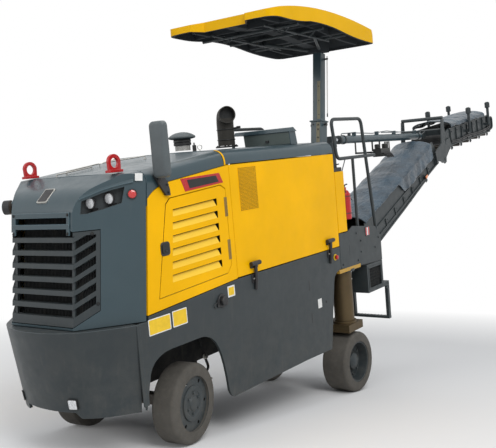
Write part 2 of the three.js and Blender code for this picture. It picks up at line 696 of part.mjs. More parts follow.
// ---------------------------------------------------------------- build the body
add(body, 'main_frame', mainFrame(), slate);
add(machine, 'front_axle', frontAxle(), castIron);
add(body, 'engine_block', box(-260, 260, -280, 820, 985, 1700), castIron);
add(body, 'belly_tank', bellyTank(), slate);
add(body, 'drum_housing', drumHousing(), slate);
add(body, 'milling_drum', millingDrum(), castIron);
addPair(body, 'side_plate', sidePlate(), slate);
add(body, 'front_skirt', frontSkirt(), slate);
add(body, 'nose_shell', noseShell(), slateLight);
add(body, 'front_grille', grille(), slate);
add(body, 'hood_top_front', hoodTopFront(), slateLight);
add(body, 'hood_top_rear', hoodTopRear(), slateLight);
addPair(body, 'side_surround', sideSurround(), yellow);
addPair(body, 'louvre_door', louvreDoor(), yellow);
addPair(body, 'rear_cover', rearCover(), yellow);
add(body, 'rear_bulkhead', rearBulkhead(), yellow);
add(body, 'platform', platform(), slate);
addPair(body, 'guard_rail', guardRail(), slate);
add(body, 'rear_box', rearBox(), slate);
add(body, 'rear_step', rearStep(), slate);
add(mastAxis, 'mast_sleeve', mastSleeve(), slateLight);
add(mastAxis, 'mast_post', mastPost(), slateLight);
add(body, 'canopy', canopy(), canopyYellow);
add(body, 'exhaust', exhaust(), black);
add(body, 'precleaner', precleaner(), black);
add(body, 'mirror_left', mirror(), black);
add(body, 'side_lamp', sideLamp(), black);
addPair(body, 'lifting_ring', liftingRing(), red);
add(body, 'fire_extinguisher', extinguisher(), red);
addPair(body, 'rear_leg', rearLeg(), ochreSteel);

// Front wheels turn with their knuckles about upright king pins, here steered a little to the left.
for (const [side, name] of [[1, 'left'], [-1, 'right']]) {
  const king = new THREE.Group();
  king.position.set(side * KING_X, 0, 0);
  king.rotation.z = STEER_REST;
  machine.add(king);
  const handed = (g) => (side > 0 ? g : mirrorX(g));
  const local = (g) => handed(g.translate(-KING_X, 0, 0));
  add(king, `knuckle_${name}`, local(knuckle()), castIron);
  const place = (g) => local(g.translate(FRONT_TYRE.inner, 0, WHEEL_R));
  add(king, `front_tyre_${name}`, place(tyre(FRONT_TYRE.width)), rubber);
  add(king, `front_rim_${name}`, place(rim(FRONT_TYRE.width, 110, 34, 150)), slate);
  const rear = (g) => handed(g.translate(REAR_TYRE.inner, REAR_AXLE_Y, REAR_AXLE_Z));
  add(body, `rear_tyre_${name}`, rear(tyre(REAR_TYRE.width)), rubber);
  add(body, `rear_rim_${name}`, rear(rim(REAR_TYRE.width, 150, 92, 152)), slate);
}

// ---------------------------------------------------------------- slewing discharge conveyor
function slewYoke() {
  const y = SLEW_Y;
  const plan = [[-282, y - 55], [282, y - 55], [282, y + 170], [-282, y + 170]];
  const cheek = (x0, x1) => box(x0, x1, y - 55, y + 170, 605, 1130);
  const post = join(bar([0, y, 1100], [0, y, 2130], 55, 16), box(-42, 42, y - 30, y + 78, 2080, 2204));
  const pin = (z0, z1) => bar([0, y, z0], [0, y, z1], 38, 20);
  const gusset = alongX([[y + 40, 1120], [y + 165, 1120], [y + 50, 1420], [y + 40, 1420]], -12, 12);
  const arm = box(-330, -250, y - 40, y + 40, 1015, 1045);
  const pivotHole = bar([-350, ...BOOM_PIVOT], [350, ...BOOM_PIVOT], 26, 16);
  return cut(
    join(alongZ(plan, 1100, 1130), alongZ(plan, 605, 635), cheek(258, 282), cheek(-282, -258),
      post, pin(1050, 1105), pin(630, 700), gusset, arm),
    pivotHole, box(-21, 21, y - 20, y + 90, 2100, 2300),
  );
}

const boom = new THREE.Group();
boom.position.set(0, ...BOOM_PIVOT);
boom.rotation.x = BOOM_RISE;
body.add(boom);

const head = new THREE.Group();
head.position.set(0, ...FOLD_PIN);
head.rotation.x = HEAD_RISE;
body.add(head);

const toBoom = ([y, z]) => {
  const dy = y - BOOM_PIVOT[0];
  const dz = z - BOOM_PIVOT[1];
  const c = Math.cos(BOOM_RISE);
  const s = Math.sin(BOOM_RISE);
  return [dy * c + dz * s, -dy * s + dz * c];
};

// A belt loop around two pulleys, in the (s, t) plane of its section, extruded across.
function beltLoop(s0, s1, tMid, pulley, thickness) {
  const track = (r) => {
    const p = new THREE.Shape();
    p.moveTo(s0, tMid - r);
    p.lineTo(s1, tMid - r);
    p.absarc(s1, tMid, r, -Math.PI / 2, Math.PI / 2, false);
    p.lineTo(s0, tMid + r);
    p.absarc(s0, tMid, r, Math.PI / 2, 1.5 * Math.PI, false);
    return p;
  };
  return cut(alongX(track(pulley + thickness), -BELT_HALF, BELT_HALF), alongX(track(pulley), -300, 300));
}

const LOWER_BELT = { s0: 60, s1: 2440, mid: 24, pulley: 78, thick: 12 };
const HEAD_BELT = { s0: 250, s1: 2120, mid: 255, pulley: 70, thick: 12 };

function boomFrame() {
  const side = (x0, x1) => alongX([
    [-50, -60], [80, -85], [2560, -85], [BOOM_LENGTH - 20, 60], [2500, 250], [1900, 245], [300, 185], [-40, 50],
  ], x0, x1);
  const tie = (s, t, r = 20) => bar([-240, s, t], [240, s, t], r, 10);
  const pulley = (s) => bar([-240, s, LOWER_BELT.mid], [240, s, LOWER_BELT.mid], LOWER_BELT.pulley - 2, 20);
  const trunnion = (side) => bar([side * 230, 0, 0], [side * 284, 0, 0], 25, 14);
  const ties = [400, 800, 1200, 1600, 2000].map((s) => tie(s, LOWER_BELT.mid));
  const lobe = toBoom([6052, 1782]);
  const [topS, topT] = toBoom([5990, 2334]);
  const [topS2, topT2] = toBoom([6075, 2334]);
  const hoopPlate = (x0, x1) => alongX([
    [lobe[0] - 60, lobe[1] - 20], [lobe[0] - 30, lobe[1] - 55], [lobe[0] + 30, lobe[1] - 55],
    [lobe[0] + 55, lobe[1]], [lobe[0] + 70, lobe[1] + 120], [topS2, topT2], [topS, topT],
    [lobe[0] - 20, lobe[1] + 240], [2440, 120], [2440, 0],
  ], x0, x1);
  const crossbar = join(bar([-300, topS + 40, topT + 4], [300, topS + 40, topT + 4], 24, 10));
  const eye = toBoom([5969, 2125]);
  const eyePlate = (x0, x1) => alongX([
    [eye[0] - 34, eye[1] - 36], [eye[0] + 120, eye[1] - 36], [eye[0] + 120, eye[1] + 36], [eye[0] - 34, eye[1] + 36],
  ], x0, x1);
  const eyeBar = box(-300, 300, eye[0] + 90, eye[0] + 130, eye[1] - 40, eye[1] + 40);
  return cut(
    join(side(232, 252), side(-252, -232), ...ties, pulley(LOWER_BELT.s0), pulley(LOWER_BELT.s1),
      trunnion(1), trunnion(-1), hoopPlate(284, 300), hoopPlate(-300, -284),
      box(245, 290, 2450, 2500, -60, 60), box(-290, -245, 2450, 2500, -60, 60),
      crossbar, eyeBar, eyePlate(22, 40), eyePlate(-40, -22)),
    bar([-400, ...lobe], [400, ...lobe], 22, 14),
  );
}

// Cover over a conveyor section: an arched sheet with hanging sides.
function tarp(half, low, shoulder, crown, s0, s1) {
  const skin = 8;
  const arch = (h, top, foot) => {
    const p = new THREE.Shape();
    p.moveTo(-h, foot);
    p.lineTo(h, foot);
    p.lineTo(h, shoulder);
    p.quadraticCurveTo(h, top, 0, top);
    p.quadraticCurveTo(-h, top, -h, shoulder);
    p.closePath();
    return p;
  };
  return cut(alongY(arch(half, crown, low), s0, s1), alongY(arch(half - skin, crown - skin, low - 50), s0 - 10, s1 + 10));
}

function headFrame() {
  const side = (x0, x1) => alongX([
    [140, 130], [330, 140], [2100, 120], [HEAD_LENGTH, 160], [HEAD_LENGTH, 330], [2060, 395], [330, 385], [190, 330],
  ], x0, x1);
  const arm = (x0, x1) => alongX([
    [-40, -30], [0, -52], [40, -36], [330, 150], [300, 260], [150, 240], [-30, 30],
  ], x0, x1);
  const tie = (s) => bar([-240, s, HEAD_BELT.mid], [240, s, HEAD_BELT.mid], 18, 10);
  const pulley = (s) => bar([-240, s, HEAD_BELT.mid], [240, s, HEAD_BELT.mid], HEAD_BELT.pulley - 2, 20);
  const pin = (side) => bar([side * 262, 0, 0], [side * 306, 0, 0], 20, 14);
  const stub = (side, s) => join(bar([side * 315, s, 250], [side * 315, s, 610], 22, 8), box(...(side > 0 ? [240, 315] : [-315, -240]), s - 15, s + 15, 250, 290));
  return join(
    side(232, 250), side(-250, -232), arm(245, 278), arm(-278, -245), pin(1), pin(-1),
    ...[500, 900, 1300, 1700].map(tie), pulley(HEAD_BELT.s0), pulley(HEAD_BELT.s1),
    stub(1, 1030), stub(1, 1900), stub(-1, 1030), stub(-1, 1900),
  );
}

const LIFT = { eye: [SLEW_Y + 40, 2160], far: [5969, 2125] };
const lift = new THREE.Group();
lift.position.set(0, ...LIFT.far);
const liftSpan = Math.hypot(LIFT.far[0] - LIFT.eye[0], LIFT.far[1] - LIFT.eye[1]);
lift.rotation.x = Math.atan2(LIFT.far[1] - LIFT.eye[1], LIFT.far[0] - LIFT.eye[0]);
body.add(lift);

function liftBarrel() {
  const tube = cut(
    bar([0, -liftSpan + 190, 0], [0, -60, 0], 46, 20),
    bar([0, -liftSpan + 100, 0], [0, -liftSpan + 1900, 0], 24, 16),
  );
  return join(tube, box(-20, 20, -80, 28, -30, 30));
}

function liftRod() {
  const eye = box(-18, 18, -liftSpan - 28, -liftSpan + 60, -26, 26);
  return join(bar([0, -liftSpan + 46, 0], [0, -liftSpan + 1800, 0], 23, 16), eye);
}

function swingBarrel() {
  const tube = cut(
    bar([-290, 2640, 1030], [-290, 3120, 1030], 34, 16),
    bar([-290, 2660, 1030], [-290, 3200, 1030], 18.5, 14),
  );
  return join(tube, box(-306, -274, 2590, 2650, 1010, 1050));
}

function swingRod() {
  return bar([-290, 2860, 1030], [-290, SLEW_Y - 62, 1030], 18, 14);
}

add(body, 'slew_yoke', slewYoke(), slate);
add(boom, 'boom_frame', boomFrame(), slate);
add(boom, 'boom_belt', beltLoop(LOWER_BELT.s0, LOWER_BELT.s1, LOWER_BELT.mid, LOWER_BELT.pulley, LOWER_BELT.thick), rubber);
add(boom, 'boom_tarp', tarp(276, 60, 240, 330, 200, 2400), tarpaulin);
add(head, 'head_frame', headFrame(), slate);
add(head, 'head_belt', beltLoop(HEAD_BELT.s0, HEAD_BELT.s1, HEAD_BELT.mid, HEAD_BELT.pulley, HEAD_BELT.thick), rubber);
add(head, 'head_tarp', tarp(292, 400, 430, 510, 350, 1800), tarpaulin);
add(lift, 'lift_barrel', liftBarrel(), slateLight);
add(lift, 'lift_rod', liftRod(), chrome);
add(body, 'swing_barrel', swingBarrel(), slateLight);
add(body, 'swing_rod', swingRod(), chrome);

export default machine;
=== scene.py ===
"""Looks of a compact wheeled cold planer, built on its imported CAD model.

Details are modelled in millimetres in the machine's own frame, which leans nose-down with the
body: +X to its left, -Y to its front, +Z up, with the front axle's centre at (0, 0, AXLE_Z).
"""

import json
import math

import bmesh
import bpy
from mathutils import Matrix, Vector, noise


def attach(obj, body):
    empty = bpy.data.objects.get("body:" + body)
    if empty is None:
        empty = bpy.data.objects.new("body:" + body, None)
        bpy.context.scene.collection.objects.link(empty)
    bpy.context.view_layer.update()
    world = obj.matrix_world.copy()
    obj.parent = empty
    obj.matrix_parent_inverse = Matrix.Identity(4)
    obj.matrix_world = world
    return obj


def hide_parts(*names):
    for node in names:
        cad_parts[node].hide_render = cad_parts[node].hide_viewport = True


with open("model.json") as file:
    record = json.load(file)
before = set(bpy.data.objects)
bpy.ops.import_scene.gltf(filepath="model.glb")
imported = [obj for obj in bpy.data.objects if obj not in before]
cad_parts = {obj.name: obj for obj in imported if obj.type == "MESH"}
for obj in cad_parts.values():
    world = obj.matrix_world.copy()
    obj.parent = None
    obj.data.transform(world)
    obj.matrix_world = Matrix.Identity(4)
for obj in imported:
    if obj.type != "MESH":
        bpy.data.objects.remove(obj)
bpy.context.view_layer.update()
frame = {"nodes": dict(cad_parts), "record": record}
RECORD = frame["record"]
JOINTS = {joint["name"]: joint for joint in RECORD["behaviour"]["joints"]}
COLOURS = {material["slot"]: material["base_color"] for material in RECORD["materials"]}
SCENE = bpy.context.scene

# ---------------------------------------------------------------- frames, in millimetres
MM = 0.001
AXLE_Z = 300
AXLE = Vector((0, JOINTS["steer_left"]["pos_m"][1], AXLE_Z * MM))
UP_AXIS = Vector(JOINTS["leg_left_slide"]["axis"])
PITCH = math.atan2(-UP_AXIS.y, UP_AXIS.z)
LEAN = Matrix.Translation(AXLE) @ Matrix.Rotation(PITCH, 4, "X")
BODY = LEAN @ Matrix.Scale(MM, 4) @ Matrix.Translation((0, 0, -AXLE_Z))


def hinge_frame(joint, rise):
    """Frame of a section that starts at a joint and rises by an angle in the body's frame."""
    place = Matrix.Translation(Vector(JOINTS[joint]["pos_m"]))
    return place @ Matrix.Rotation(PITCH + rise, 4, "X") @ Matrix.Scale(MM, 4)


def wheel_frame(joint):
    """Frame at a wheel's centre, +X along its axle to the machine's left."""
    axis = Vector(JOINTS[joint]["axis"])
    turn = Matrix.Rotation(math.atan2(axis.y, axis.x), 4, "Z")
    return Matrix.Translation(Vector(JOINTS[joint]["pos_m"])) @ turn @ Matrix.Scale(MM, 4)


BOOM_RISE = math.atan(0.381)
HEAD_RISE = math.radians(5.5)
BOOM = hinge_frame("conveyor_lift", BOOM_RISE)
HEAD = hinge_frame("conveyor_fold", HEAD_RISE)

# ---------------------------------------------------------------- driving dimensions
HALF = 640
RAKE = 0.136
RAKE_Z = 1123
SEAM_Y = 588
CROWN = 2153
DECK_Z = 1112
WHEEL_R = 300
EXTINGUISHER = (575, 2600)
STACK_Y = 1490
CLEANER_Y = 868


# ---------------------------------------------------------------- materials
class Graph:
    """A material's nodes, with short calls for the ones used here."""

    def __init__(self, name):
        self.material = bpy.data.materials.new(name)
        self.material.use_nodes = True
        self.nodes = self.material.node_tree.nodes
        self.links = self.material.node_tree.links
        self.shader = self.nodes["Principled BSDF"]
        self.place = self.nodes.new("ShaderNodeTexCoord").outputs["Object"]

    def feed(self, socket, value):
        if isinstance(value, bpy.types.NodeSocket):
            self.links.new(value, socket)
        else:
            socket.default_value = value

    def stretched(self, stretch):
        node = self.nodes.new("ShaderNodeMapping")
        node.inputs["Scale"].default_value = stretch
        self.links.new(self.place, node.inputs["Vector"])
        return node.outputs["Vector"]

    def noise(self, scale, detail=3.0, rough=0.5, stretch=None):
        node = self.nodes.new("ShaderNodeTexNoise")
        node.inputs["Scale"].default_value = scale
        node.inputs["Detail"].default_value = detail
        node.inputs["Roughness"].default_value = rough
        self.links.new(self.stretched(stretch) if stretch else self.place, node.inputs["Vector"])
        return node.outputs["Fac"]

    def cells(self, scale, stretch=None):
        node = self.nodes.new("ShaderNodeTexVoronoi")
        node.inputs["Scale"].default_value = scale
        self.links.new(self.stretched(stretch) if stretch else self.place, node.inputs["Vector"])
        return node.outputs["Distance"]

    def wave(self, scale, direction="X", distortion=0.0):
        node = self.nodes.new("ShaderNodeTexWave")
        node.bands_direction = direction
        node.inputs["Scale"].default_value = scale
        node.inputs["Distortion"].default_value = distortion
        self.links.new(self.place, node.inputs["Vector"])
        return node.outputs["Fac"]

    def span(self, value, low, high, to_low=0.0, to_high=1.0):
        node = self.nodes.new("ShaderNodeMapRange")
        self.feed(node.inputs["Value"], value)
        node.inputs["From Min"].default_value = low
        node.inputs["From Max"].default_value = high
        node.inputs["To Min"].default_value = to_low
        node.inputs["To Max"].default_value = to_high
        return node.outputs["Result"]

    def math(self, operation, a, b=0.0):
        node = self.nodes.new("ShaderNodeMath")
        node.operation = operation
        self.feed(node.inputs[0], a)
        self.feed(node.inputs[1], b)
        return node.outputs["Value"]

    def mix(self, factor, a, b):
        node = self.nodes.new("ShaderNodeMix")
        node.data_type = "RGBA"
        self.feed(node.inputs["Factor"], factor)
        self.feed(node.inputs["A"], a if isinstance(a, bpy.types.NodeSocket) else (*a, 1.0))
        self.feed(node.inputs["B"], b if isinstance(b, bpy.types.NodeSocket) else (*b, 1.0))
        return node.outputs["Result"]

    def height(self):
        node = self.nodes.new("ShaderNodeSeparateXYZ")
        self.links.new(self.place, node.inputs["Vector"])
        return node.outputs["Z"]

    def facing_up(self):
        geometry = self.nodes.new("ShaderNodeNewGeometry")
        node = self.nodes.new("ShaderNodeSeparateXYZ")
        self.links.new(geometry.outputs["Normal"], node.inputs["Vector"])
        return node.outputs["Z"]

    def bump(self, height, strength, distance, under=None):
        node = self.nodes.new("ShaderNodeBump")
        node.inputs["Strength"].default_value = strength
        node.inputs["Distance"].default_value = distance
        self.links.new(height, node.inputs["Height"])
        if under is not None:
            self.links.new(under, node.inputs["Normal"])
        return node.outputs["Normal"]

    def set(self, **values):
        for name, value in values.items():
            socket = self.shader.inputs[name.replace("_", " ")]
            self.feed(socket, (*value, 1.0) if isinstance(value, (tuple, list)) else value)
        return self


def shade(colour, factor):
    return tuple(min(1.0, c * factor) for c in colour)


DUST = (0.23, 0.205, 0.17)
PRIMER = (0.20, 0.20, 0.19)


def paint(name, colour, roughness=0.38, coat=0.25, dust=0.35, chips=0.0, dust_top=0.9, gloss=0.3):
    """Sprayed paint: slow changes of tone, faint orange peel, dust low down and on ledges."""
    g = Graph(name)
    tone = g.span(g.noise(1.7, 4.0, 0.6), 0.32, 0.68)
    base = g.mix(tone, shade(colour, 0.94), shade(colour, 1.06))
    patches = g.span(g.noise(7.0, 7.0, 0.68), 0.40, 0.72)
    low = g.span(g.height(), dust_top, 0.05, 0.12, 1.0)
    ledge = g.span(g.facing_up(), 0.55, 0.98, 0.0, 0.35)
    film = g.math("MULTIPLY", g.math("ADD", low, ledge), g.math("MULTIPLY", patches, dust))
    streaks = g.span(g.noise(22.0, 4.0, 0.6, (1.0, 1.0, 0.12)), 0.56, 0.80, 0.0, 0.4 * dust)
    film = g.math("MINIMUM", g.math("ADD", film, streaks), 0.85)
    base = g.mix(film, base, DUST)
    if chips:
        spots = g.span(g.noise(160.0, 5.0, 0.7), 0.60 - 0.12 * chips, 0.66 - 0.12 * chips)
        base = g.mix(g.math("MULTIPLY", spots, 0.85), base, shade(colour, 1.5) if chips < 0.5 else PRIMER)
    rough = g.span(g.noise(11.0, 5.0, 0.6), 0.3, 0.7, roughness - 0.06, roughness + 0.08)
    rough = g.math("ADD", rough, g.math("MULTIPLY", film, 0.5))
    peel = g.bump(g.noise(240.0, 2.0, 0.5), 0.10, 0.0006)
    ripple = g.bump(g.noise(5.0, 2.0, 0.4), 0.12, 0.004, peel)
    g.set(Base_Color=base, Roughness=rough, Normal=ripple, Coat_Weight=coat, Coat_Roughness=0.12,
          Specular_IOR_Level=gloss)
    return g.material


def bare_metal(name, colour, roughness=0.45, metallic=0.85, rust=0.3, rust_colour=(0.17, 0.075, 0.03)):
    """Worked steel with fine brushing, a dull oxide film and rusty patches."""
    g = Graph(name)
    base = g.mix(g.span(g.noise(3.0, 5.0, 0.6), 0.3, 0.7), shade(colour, 0.82), shade(colour, 1.15))
    patch = g.span(g.noise(17.0, 8.0, 0.72), 0.62 - 0.25 * rust, 0.80 - 0.15 * rust)
    base = g.mix(g.math("MULTIPLY", patch, 0.8 if rust else 0.0), base, rust_colour)
    brushed = g.noise(420.0, 2.0, 0.5, (1.0, 1.0, 0.06))
    rough = g.math("ADD", g.span(brushed, 0.3, 0.7, roughness - 0.08, roughness + 0.08),
                   g.math("MULTIPLY", patch, 0.3))
    metal = g.span(patch, 0.0, 1.0, metallic, metallic * 0.35)
    normal = g.bump(brushed, 0.12, 0.0004, g.bump(g.noise(30.0, 6.0, 0.7), 0.25, 0.0015))
    g.set(Base_Color=base, Roughness=rough, Metallic=metal, Normal=normal)
    return g.material


def cast(name, colour, roughness=0.62):
    """Coarse cast or gas-cut iron under old paint."""
    g = Graph(name)
    base = g.mix(g.span(g.noise(6.0, 6.0, 0.65), 0.3, 0.7), shade(colour, 0.72), shade(colour, 1.2))
    base = g.mix(g.span(g.noise(21.0, 6.0, 0.7), 0.58, 0.76, 0.0, 0.55), base, DUST)
    grain = g.bump(g.noise(180.0, 5.0, 0.7), 0.4, 0.0012, g.bump(g.cells(60.0), 0.15, 0.002))
    rough = g.span(g.noise(40.0, 4.0, 0.6), 0.3, 0.7, roughness - 0.08, roughness + 0.15)
    g.set(Base_Color=base, Roughness=rough, Metallic=0.25, Normal=grain)
    return g.material


def tyre_rubber(name, colour):
    """Solid tyre: brown-grey from road dust, with scuffs around the tread and fine pits."""
    g = Graph(name)
    base = g.mix(g.span(g.noise(5.0, 6.0, 0.65), 0.3, 0.72), shade(colour, 0.8), shade(colour, 1.25))
    scuff = g.span(g.noise(34.0, 8.0, 0.75), 0.50, 0.74, 0.0, 0.7)
    base = g.mix(scuff, base, (0.125, 0.112, 0.095))
    pits = g.span(g.cells(95.0), 0.0, 0.16, 0.0, 1.0)
    base = g.mix(g.span(pits, 0.0, 1.0, 0.5, 0.0), base, shade(colour, 0.3))
    normal = g.bump(pits, 0.35, 0.002, g.bump(g.noise(70.0, 7.0, 0.72), 0.55, 0.004))
    rough = g.span(g.noise(25.0, 5.0, 0.6), 0.3, 0.7, 0.78, 0.96)
    g.set(Base_Color=base, Roughness=rough, Normal=normal, Specular_IOR_Level=0.3)
    return g.material


def black_rubber(name, colour=(0.016, 0.016, 0.017), roughness=0.62):
    g = Graph(name)
    base = g.mix(g.span(g.noise(9.0, 5.0, 0.6), 0.3, 0.7), shade(colour, 0.8), shade(colour, 1.4))
    base = g.mix(g.span(g.noise(46.0, 6.0, 0.7), 0.60, 0.82, 0.0, 0.3), base, DUST)
    normal = g.bump(g.noise(330.0, 3.0, 0.6), 0.2, 0.0006)
    g.set(Base_Color=base, Roughness=g.span(g.noise(14.0, 3.0), 0.3, 0.7, roughness - 0.08, roughness + 0.1),
          Normal=normal)
    return g.material


def moulded(name, colour, roughness=0.45, coat=0.0):
    """Moulded plastic with a fine leather-like grain."""
    g = Graph(name)
    base = g.mix(g.span(g.noise(6.0, 4.0, 0.6), 0.3, 0.7), shade(colour, 0.88), shade(colour, 1.14))
    base = g.mix(g.span(g.noise(28.0, 6.0, 0.7), 0.62, 0.85, 0.0, 0.25), base, DUST)
    normal = g.bump(g.cells(420.0), 0.12, 0.0006)
    rough = g.span(g.noise(16.0, 4.0, 0.6), 0.3, 0.7, roughness - 0.06, roughness + 0.1)
    g.set(Base_Color=base, Roughness=rough, Normal=normal, Coat_Weight=coat)
    return g.material


def coated_cloth(name, colour):
    """PVC-coated tarpaulin: a fine square weave under a dull sheen, with creases and dust, and broad light
    and dark patches that are partly uneven fading and partly painted highlights and fold shade.
    """
    g = Graph(name)
    # Broad patches from 0.45 to 1.4 times the cloth's colour: uneven fading, and painted highlights and shade
    # of the folds.
    base = g.mix(g.span(g.noise(4.0, 6.0, 0.62), 0.32, 0.68), shade(colour, 0.45), shade(colour, 1.4))
    base = g.mix(g.span(g.noise(26.0, 7.0, 0.72), 0.60, 0.85, 0.0, 0.25), base, DUST)
    weave = g.math("MAXIMUM", g.wave(260.0, "X"), g.wave(260.0, "Y"))
    creases = g.noise(13.0, 5.0, 0.55, (1.0, 0.45, 1.0))
    normal = g.bump(weave, 0.08, 0.0006, g.bump(creases, 0.9, 0.035))
    rough = g.span(g.noise(19.0, 4.0, 0.6), 0.3, 0.7, 0.28, 0.46)
    g.set(Base_Color=base, Roughness=rough, Normal=normal, Sheen_Weight=0.15, Sheen_Roughness=0.5)
    return g.material


def chromed(name, colour):
    g = Graph(name)
    streak = g.noise(60.0, 3.0, 0.5, (1.0, 0.1, 1.0))
    base = g.mix(g.span(g.noise(30.0, 6.0, 0.7), 0.55, 0.8, 0.0, 0.35), colour, shade(colour, 0.55))
    g.set(Base_Color=base, Metallic=1.0, Roughness=g.span(streak, 0.3, 0.7, 0.10, 0.24),
          Normal=g.bump(streak, 0.05, 0.0003))
    return g.material


def glassy(name, colour, roughness=0.06, coat=0.8):
    """A lens or reflector seen from outside: bright plastic with moulded facets behind it."""
    g = Graph(name)
    facets = g.cells(150.0)
    base = g.mix(g.span(facets, 0.1, 0.7), shade(colour, 0.7), shade(colour, 1.25))
    g.set(Base_Color=base, Roughness=roughness, Coat_Weight=coat, Coat_Roughness=0.03,
          Normal=g.bump(facets, 0.25, 0.0015))
    return g.material


def speckled(name, colour, roughness=0.6):
    """Printed plate or label stock: flat ink over thin sheet, a little faded."""
    g = Graph(name)
    base = g.mix(g.span(g.noise(30.0, 5.0, 0.6), 0.3, 0.7), shade(colour, 0.9), shade(colour, 1.06))
    base = g.mix(g.span(g.noise(90.0, 6.0, 0.7), 0.62, 0.8, 0.0, 0.3), base, DUST)
    g.set(Base_Color=base, Roughness=roughness, Normal=g.bump(g.noise(300.0, 2.0), 0.06, 0.0004))
    return g.material


SLATE_TONE = shade(COLOURS["slate_paint"], 0.55)
LIGHT_TONE = (0.036, 0.062, 0.074)
YELLOW_TONE = COLOURS["yellow_paint"]
SLATE = paint("slate_paint", SLATE_TONE, 0.45, 0.04, 0.22)
SLATE_EDGE = paint("slate_paint_edges", shade(SLATE_TONE, 1.5), 0.45, 0.04, 0.3, chips=0.4)
SLATE_LIGHT = paint("slate_light_paint", LIGHT_TONE, 0.34, 0.22, 0.12)
SLATE_LIGHT_EDGE = paint("slate_light_paint_edges", shade(LIGHT_TONE, 1.5), 0.36, 0.2, 0.25, chips=0.3)
YELLOW = paint("yellow_paint", YELLOW_TONE, 0.42, 0.0, 0.03, gloss=0.12)
YELLOW_EDGE = paint("yellow_paint_edges", shade(YELLOW_TONE, 0.9), 0.42, 0.0, 0.1, chips=0.3, gloss=0.12)
# Lighter yellow of the louvre blades: painted light, for the light their upward-facing slopes catch from
# above.
BLADE_YELLOW_PAINTED_LIGHT = paint("louvre_yellow_painted_light", (1.0, 0.62, 0.06), 0.42, 0.0, 0.03, gloss=0.12)
ROOF_YELLOW = paint("canopy_yellow", shade(COLOURS["canopy_yellow"], 1.08), 0.45, 0.0, 0.03, gloss=0.12)
ROOF_UNDER = paint("canopy_lining", (0.034, 0.039, 0.043), 0.75, 0.0, 0.2, gloss=0.15)
OCHRE_YELLOW = paint("worn_ochre_yellow", (0.58, 0.33, 0.035), 0.5, 0.0, 0.3, chips=0.6)
RED = paint("red_paint", COLOURS["red_paint"], 0.28, 0.3, 0.10)
RED_EDGE = paint("red_paint_edges", shade(COLOURS["red_paint"], 0.8), 0.34, 0.2, 0.2, chips=0.4)
BLACK = paint("black_paint", COLOURS["black_paint"], 0.45, 0.1, 0.25)
EXHAUST = paint("exhaust_paint", (0.024, 0.022, 0.018), 0.6, 0.0, 0.4, chips=0.3)
# Near-black for inner parts and for sheets behind openings: partly dark paint and soot, partly painted shade
# for the machine's shaded inside.
DARK = paint("dark_paint_and_painted_shade", (0.018, 0.02, 0.021), 0.7, 0.0, 0.5)
TYRE = tyre_rubber("solid_tyre", shade(COLOURS["solid_tyre"], 2.1))
BELT = black_rubber("belt_rubber", (0.02, 0.02, 0.02), 0.75)
CAST = cast("cast_iron", COLOURS["cast_iron"])
OCHRE = bare_metal("ochre_steel", shade(COLOURS["ochre_steel"], 0.66), 0.5, 0.7, 0.35, (0.12, 0.06, 0.025))
CHROME = chromed("chrome_rod", COLOURS["chrome_rod"])
HOSE = black_rubber("hose_rubber", (0.014, 0.014, 0.015), 0.5)
PLASTIC = moulded("black_plastic", (0.012, 0.012, 0.013))
TARPAULIN = coated_cloth("tarpaulin", (0.024, 0.053, 0.080))
ZINC = bare_metal("zinc_plate", (0.46, 0.45, 0.42), 0.35, 0.9, 0.1)
OCHRE_PLATE = bare_metal("ochre_plate", (0.30, 0.19, 0.055), 0.5, 0.6, 0.15, (0.12, 0.06, 0.02))
STRIP = bare_metal("mast_strip", (0.20, 0.185, 0.125), 0.55, 0.2, 0.1)
LENS = glassy("lamp_lens", (0.62, 0.63, 0.64))
LENS_RED = glassy("red_lens", (0.50, 0.012, 0.012))
LENS_ORANGE = glassy("orange_lens", (0.80, 0.20, 0.02))
MIRROR_SHELL = moulded("mirror_shell", (0.075, 0.09, 0.095), 0.5)
MIRROR_GLASS = chromed("mirror_glass", (0.6, 0.63, 0.66))
LABEL_WHITE = speckled("white_label", (0.78, 0.78, 0.76))
LABEL_YELLOW = speckled("yellow_label", (0.86, 0.56, 0.02))
BOWL = glassy("cleaner_bowl", (0.34, 0.33, 0.31), 0.2, 0.4)
# Lighter grey-green for the air box's front face: painted light, so that the face looks lit though the lid
# shades it.
AIR_BOX_PAINTED_LIGHT = paint("air_box_painted_light_panel", (0.105, 0.13, 0.122), 0.45, 0.05, 0.2)
SLATE_SET = (SLATE, SLATE_EDGE)
LIGHT_SET = (SLATE_LIGHT, SLATE_LIGHT_EDGE)
YELLOW_SET = (YELLOW, YELLOW_EDGE)


# ---------------------------------------------------------------- mesh making
def curve_between(a, corner, b, steps):
    points = []
    for i in range(steps + 1):
        t = i / steps
        points.append(a.lerp(corner, t).lerp(corner.lerp(b, t), t))
    return points


def rounded_path(points, bend, steps=6):
    """The points with every corner turned into a smooth bend that starts that far from it."""
    p = [Vector(q) for q in points]
    path = [p[0]]
    for before, here, after in zip(p, p[1:], p[2:]):
        reach_in = min(bend, (before - here).length * 0.49)
        reach_out = min(bend, (after - here).length * 0.49)
        start = here + (before - here).normalized() * reach_in
        end = here + (after - here).normalized() * reach_out
        path.extend(curve_between(start, here, end, steps))
    path.append(p[-1])
    return path


def smooth_path(points, steps=8):
    """A Catmull-Rom curve through the points."""
    p = [Vector(q) for q in points]
    p = [p[0] * 2 - p[1]] + p + [p[-1] * 2 - p[-2]]
    path = []
    for a, b, c, d in zip(p, p[1:], p[2:], p[3:]):
        for i in range(steps):
            t = i / steps
            path.append(0.5 * ((2 * b) + (c - a) * t + (2 * a - 5 * b + 4 * c - d) * t * t
                               + (3 * b - a - 3 * c + d) * t * t * t))
    path.append(p[-2])
    return path


# where an outline's two numbers and its depth go, for each axis it is extruded along
AXIS_ORDER = {
    "x": lambda a, b, depth: (depth, a, b),
    "y": lambda a, b, depth: (a, depth, b),
    "z": lambda a, b, depth: (a, b, depth),
}


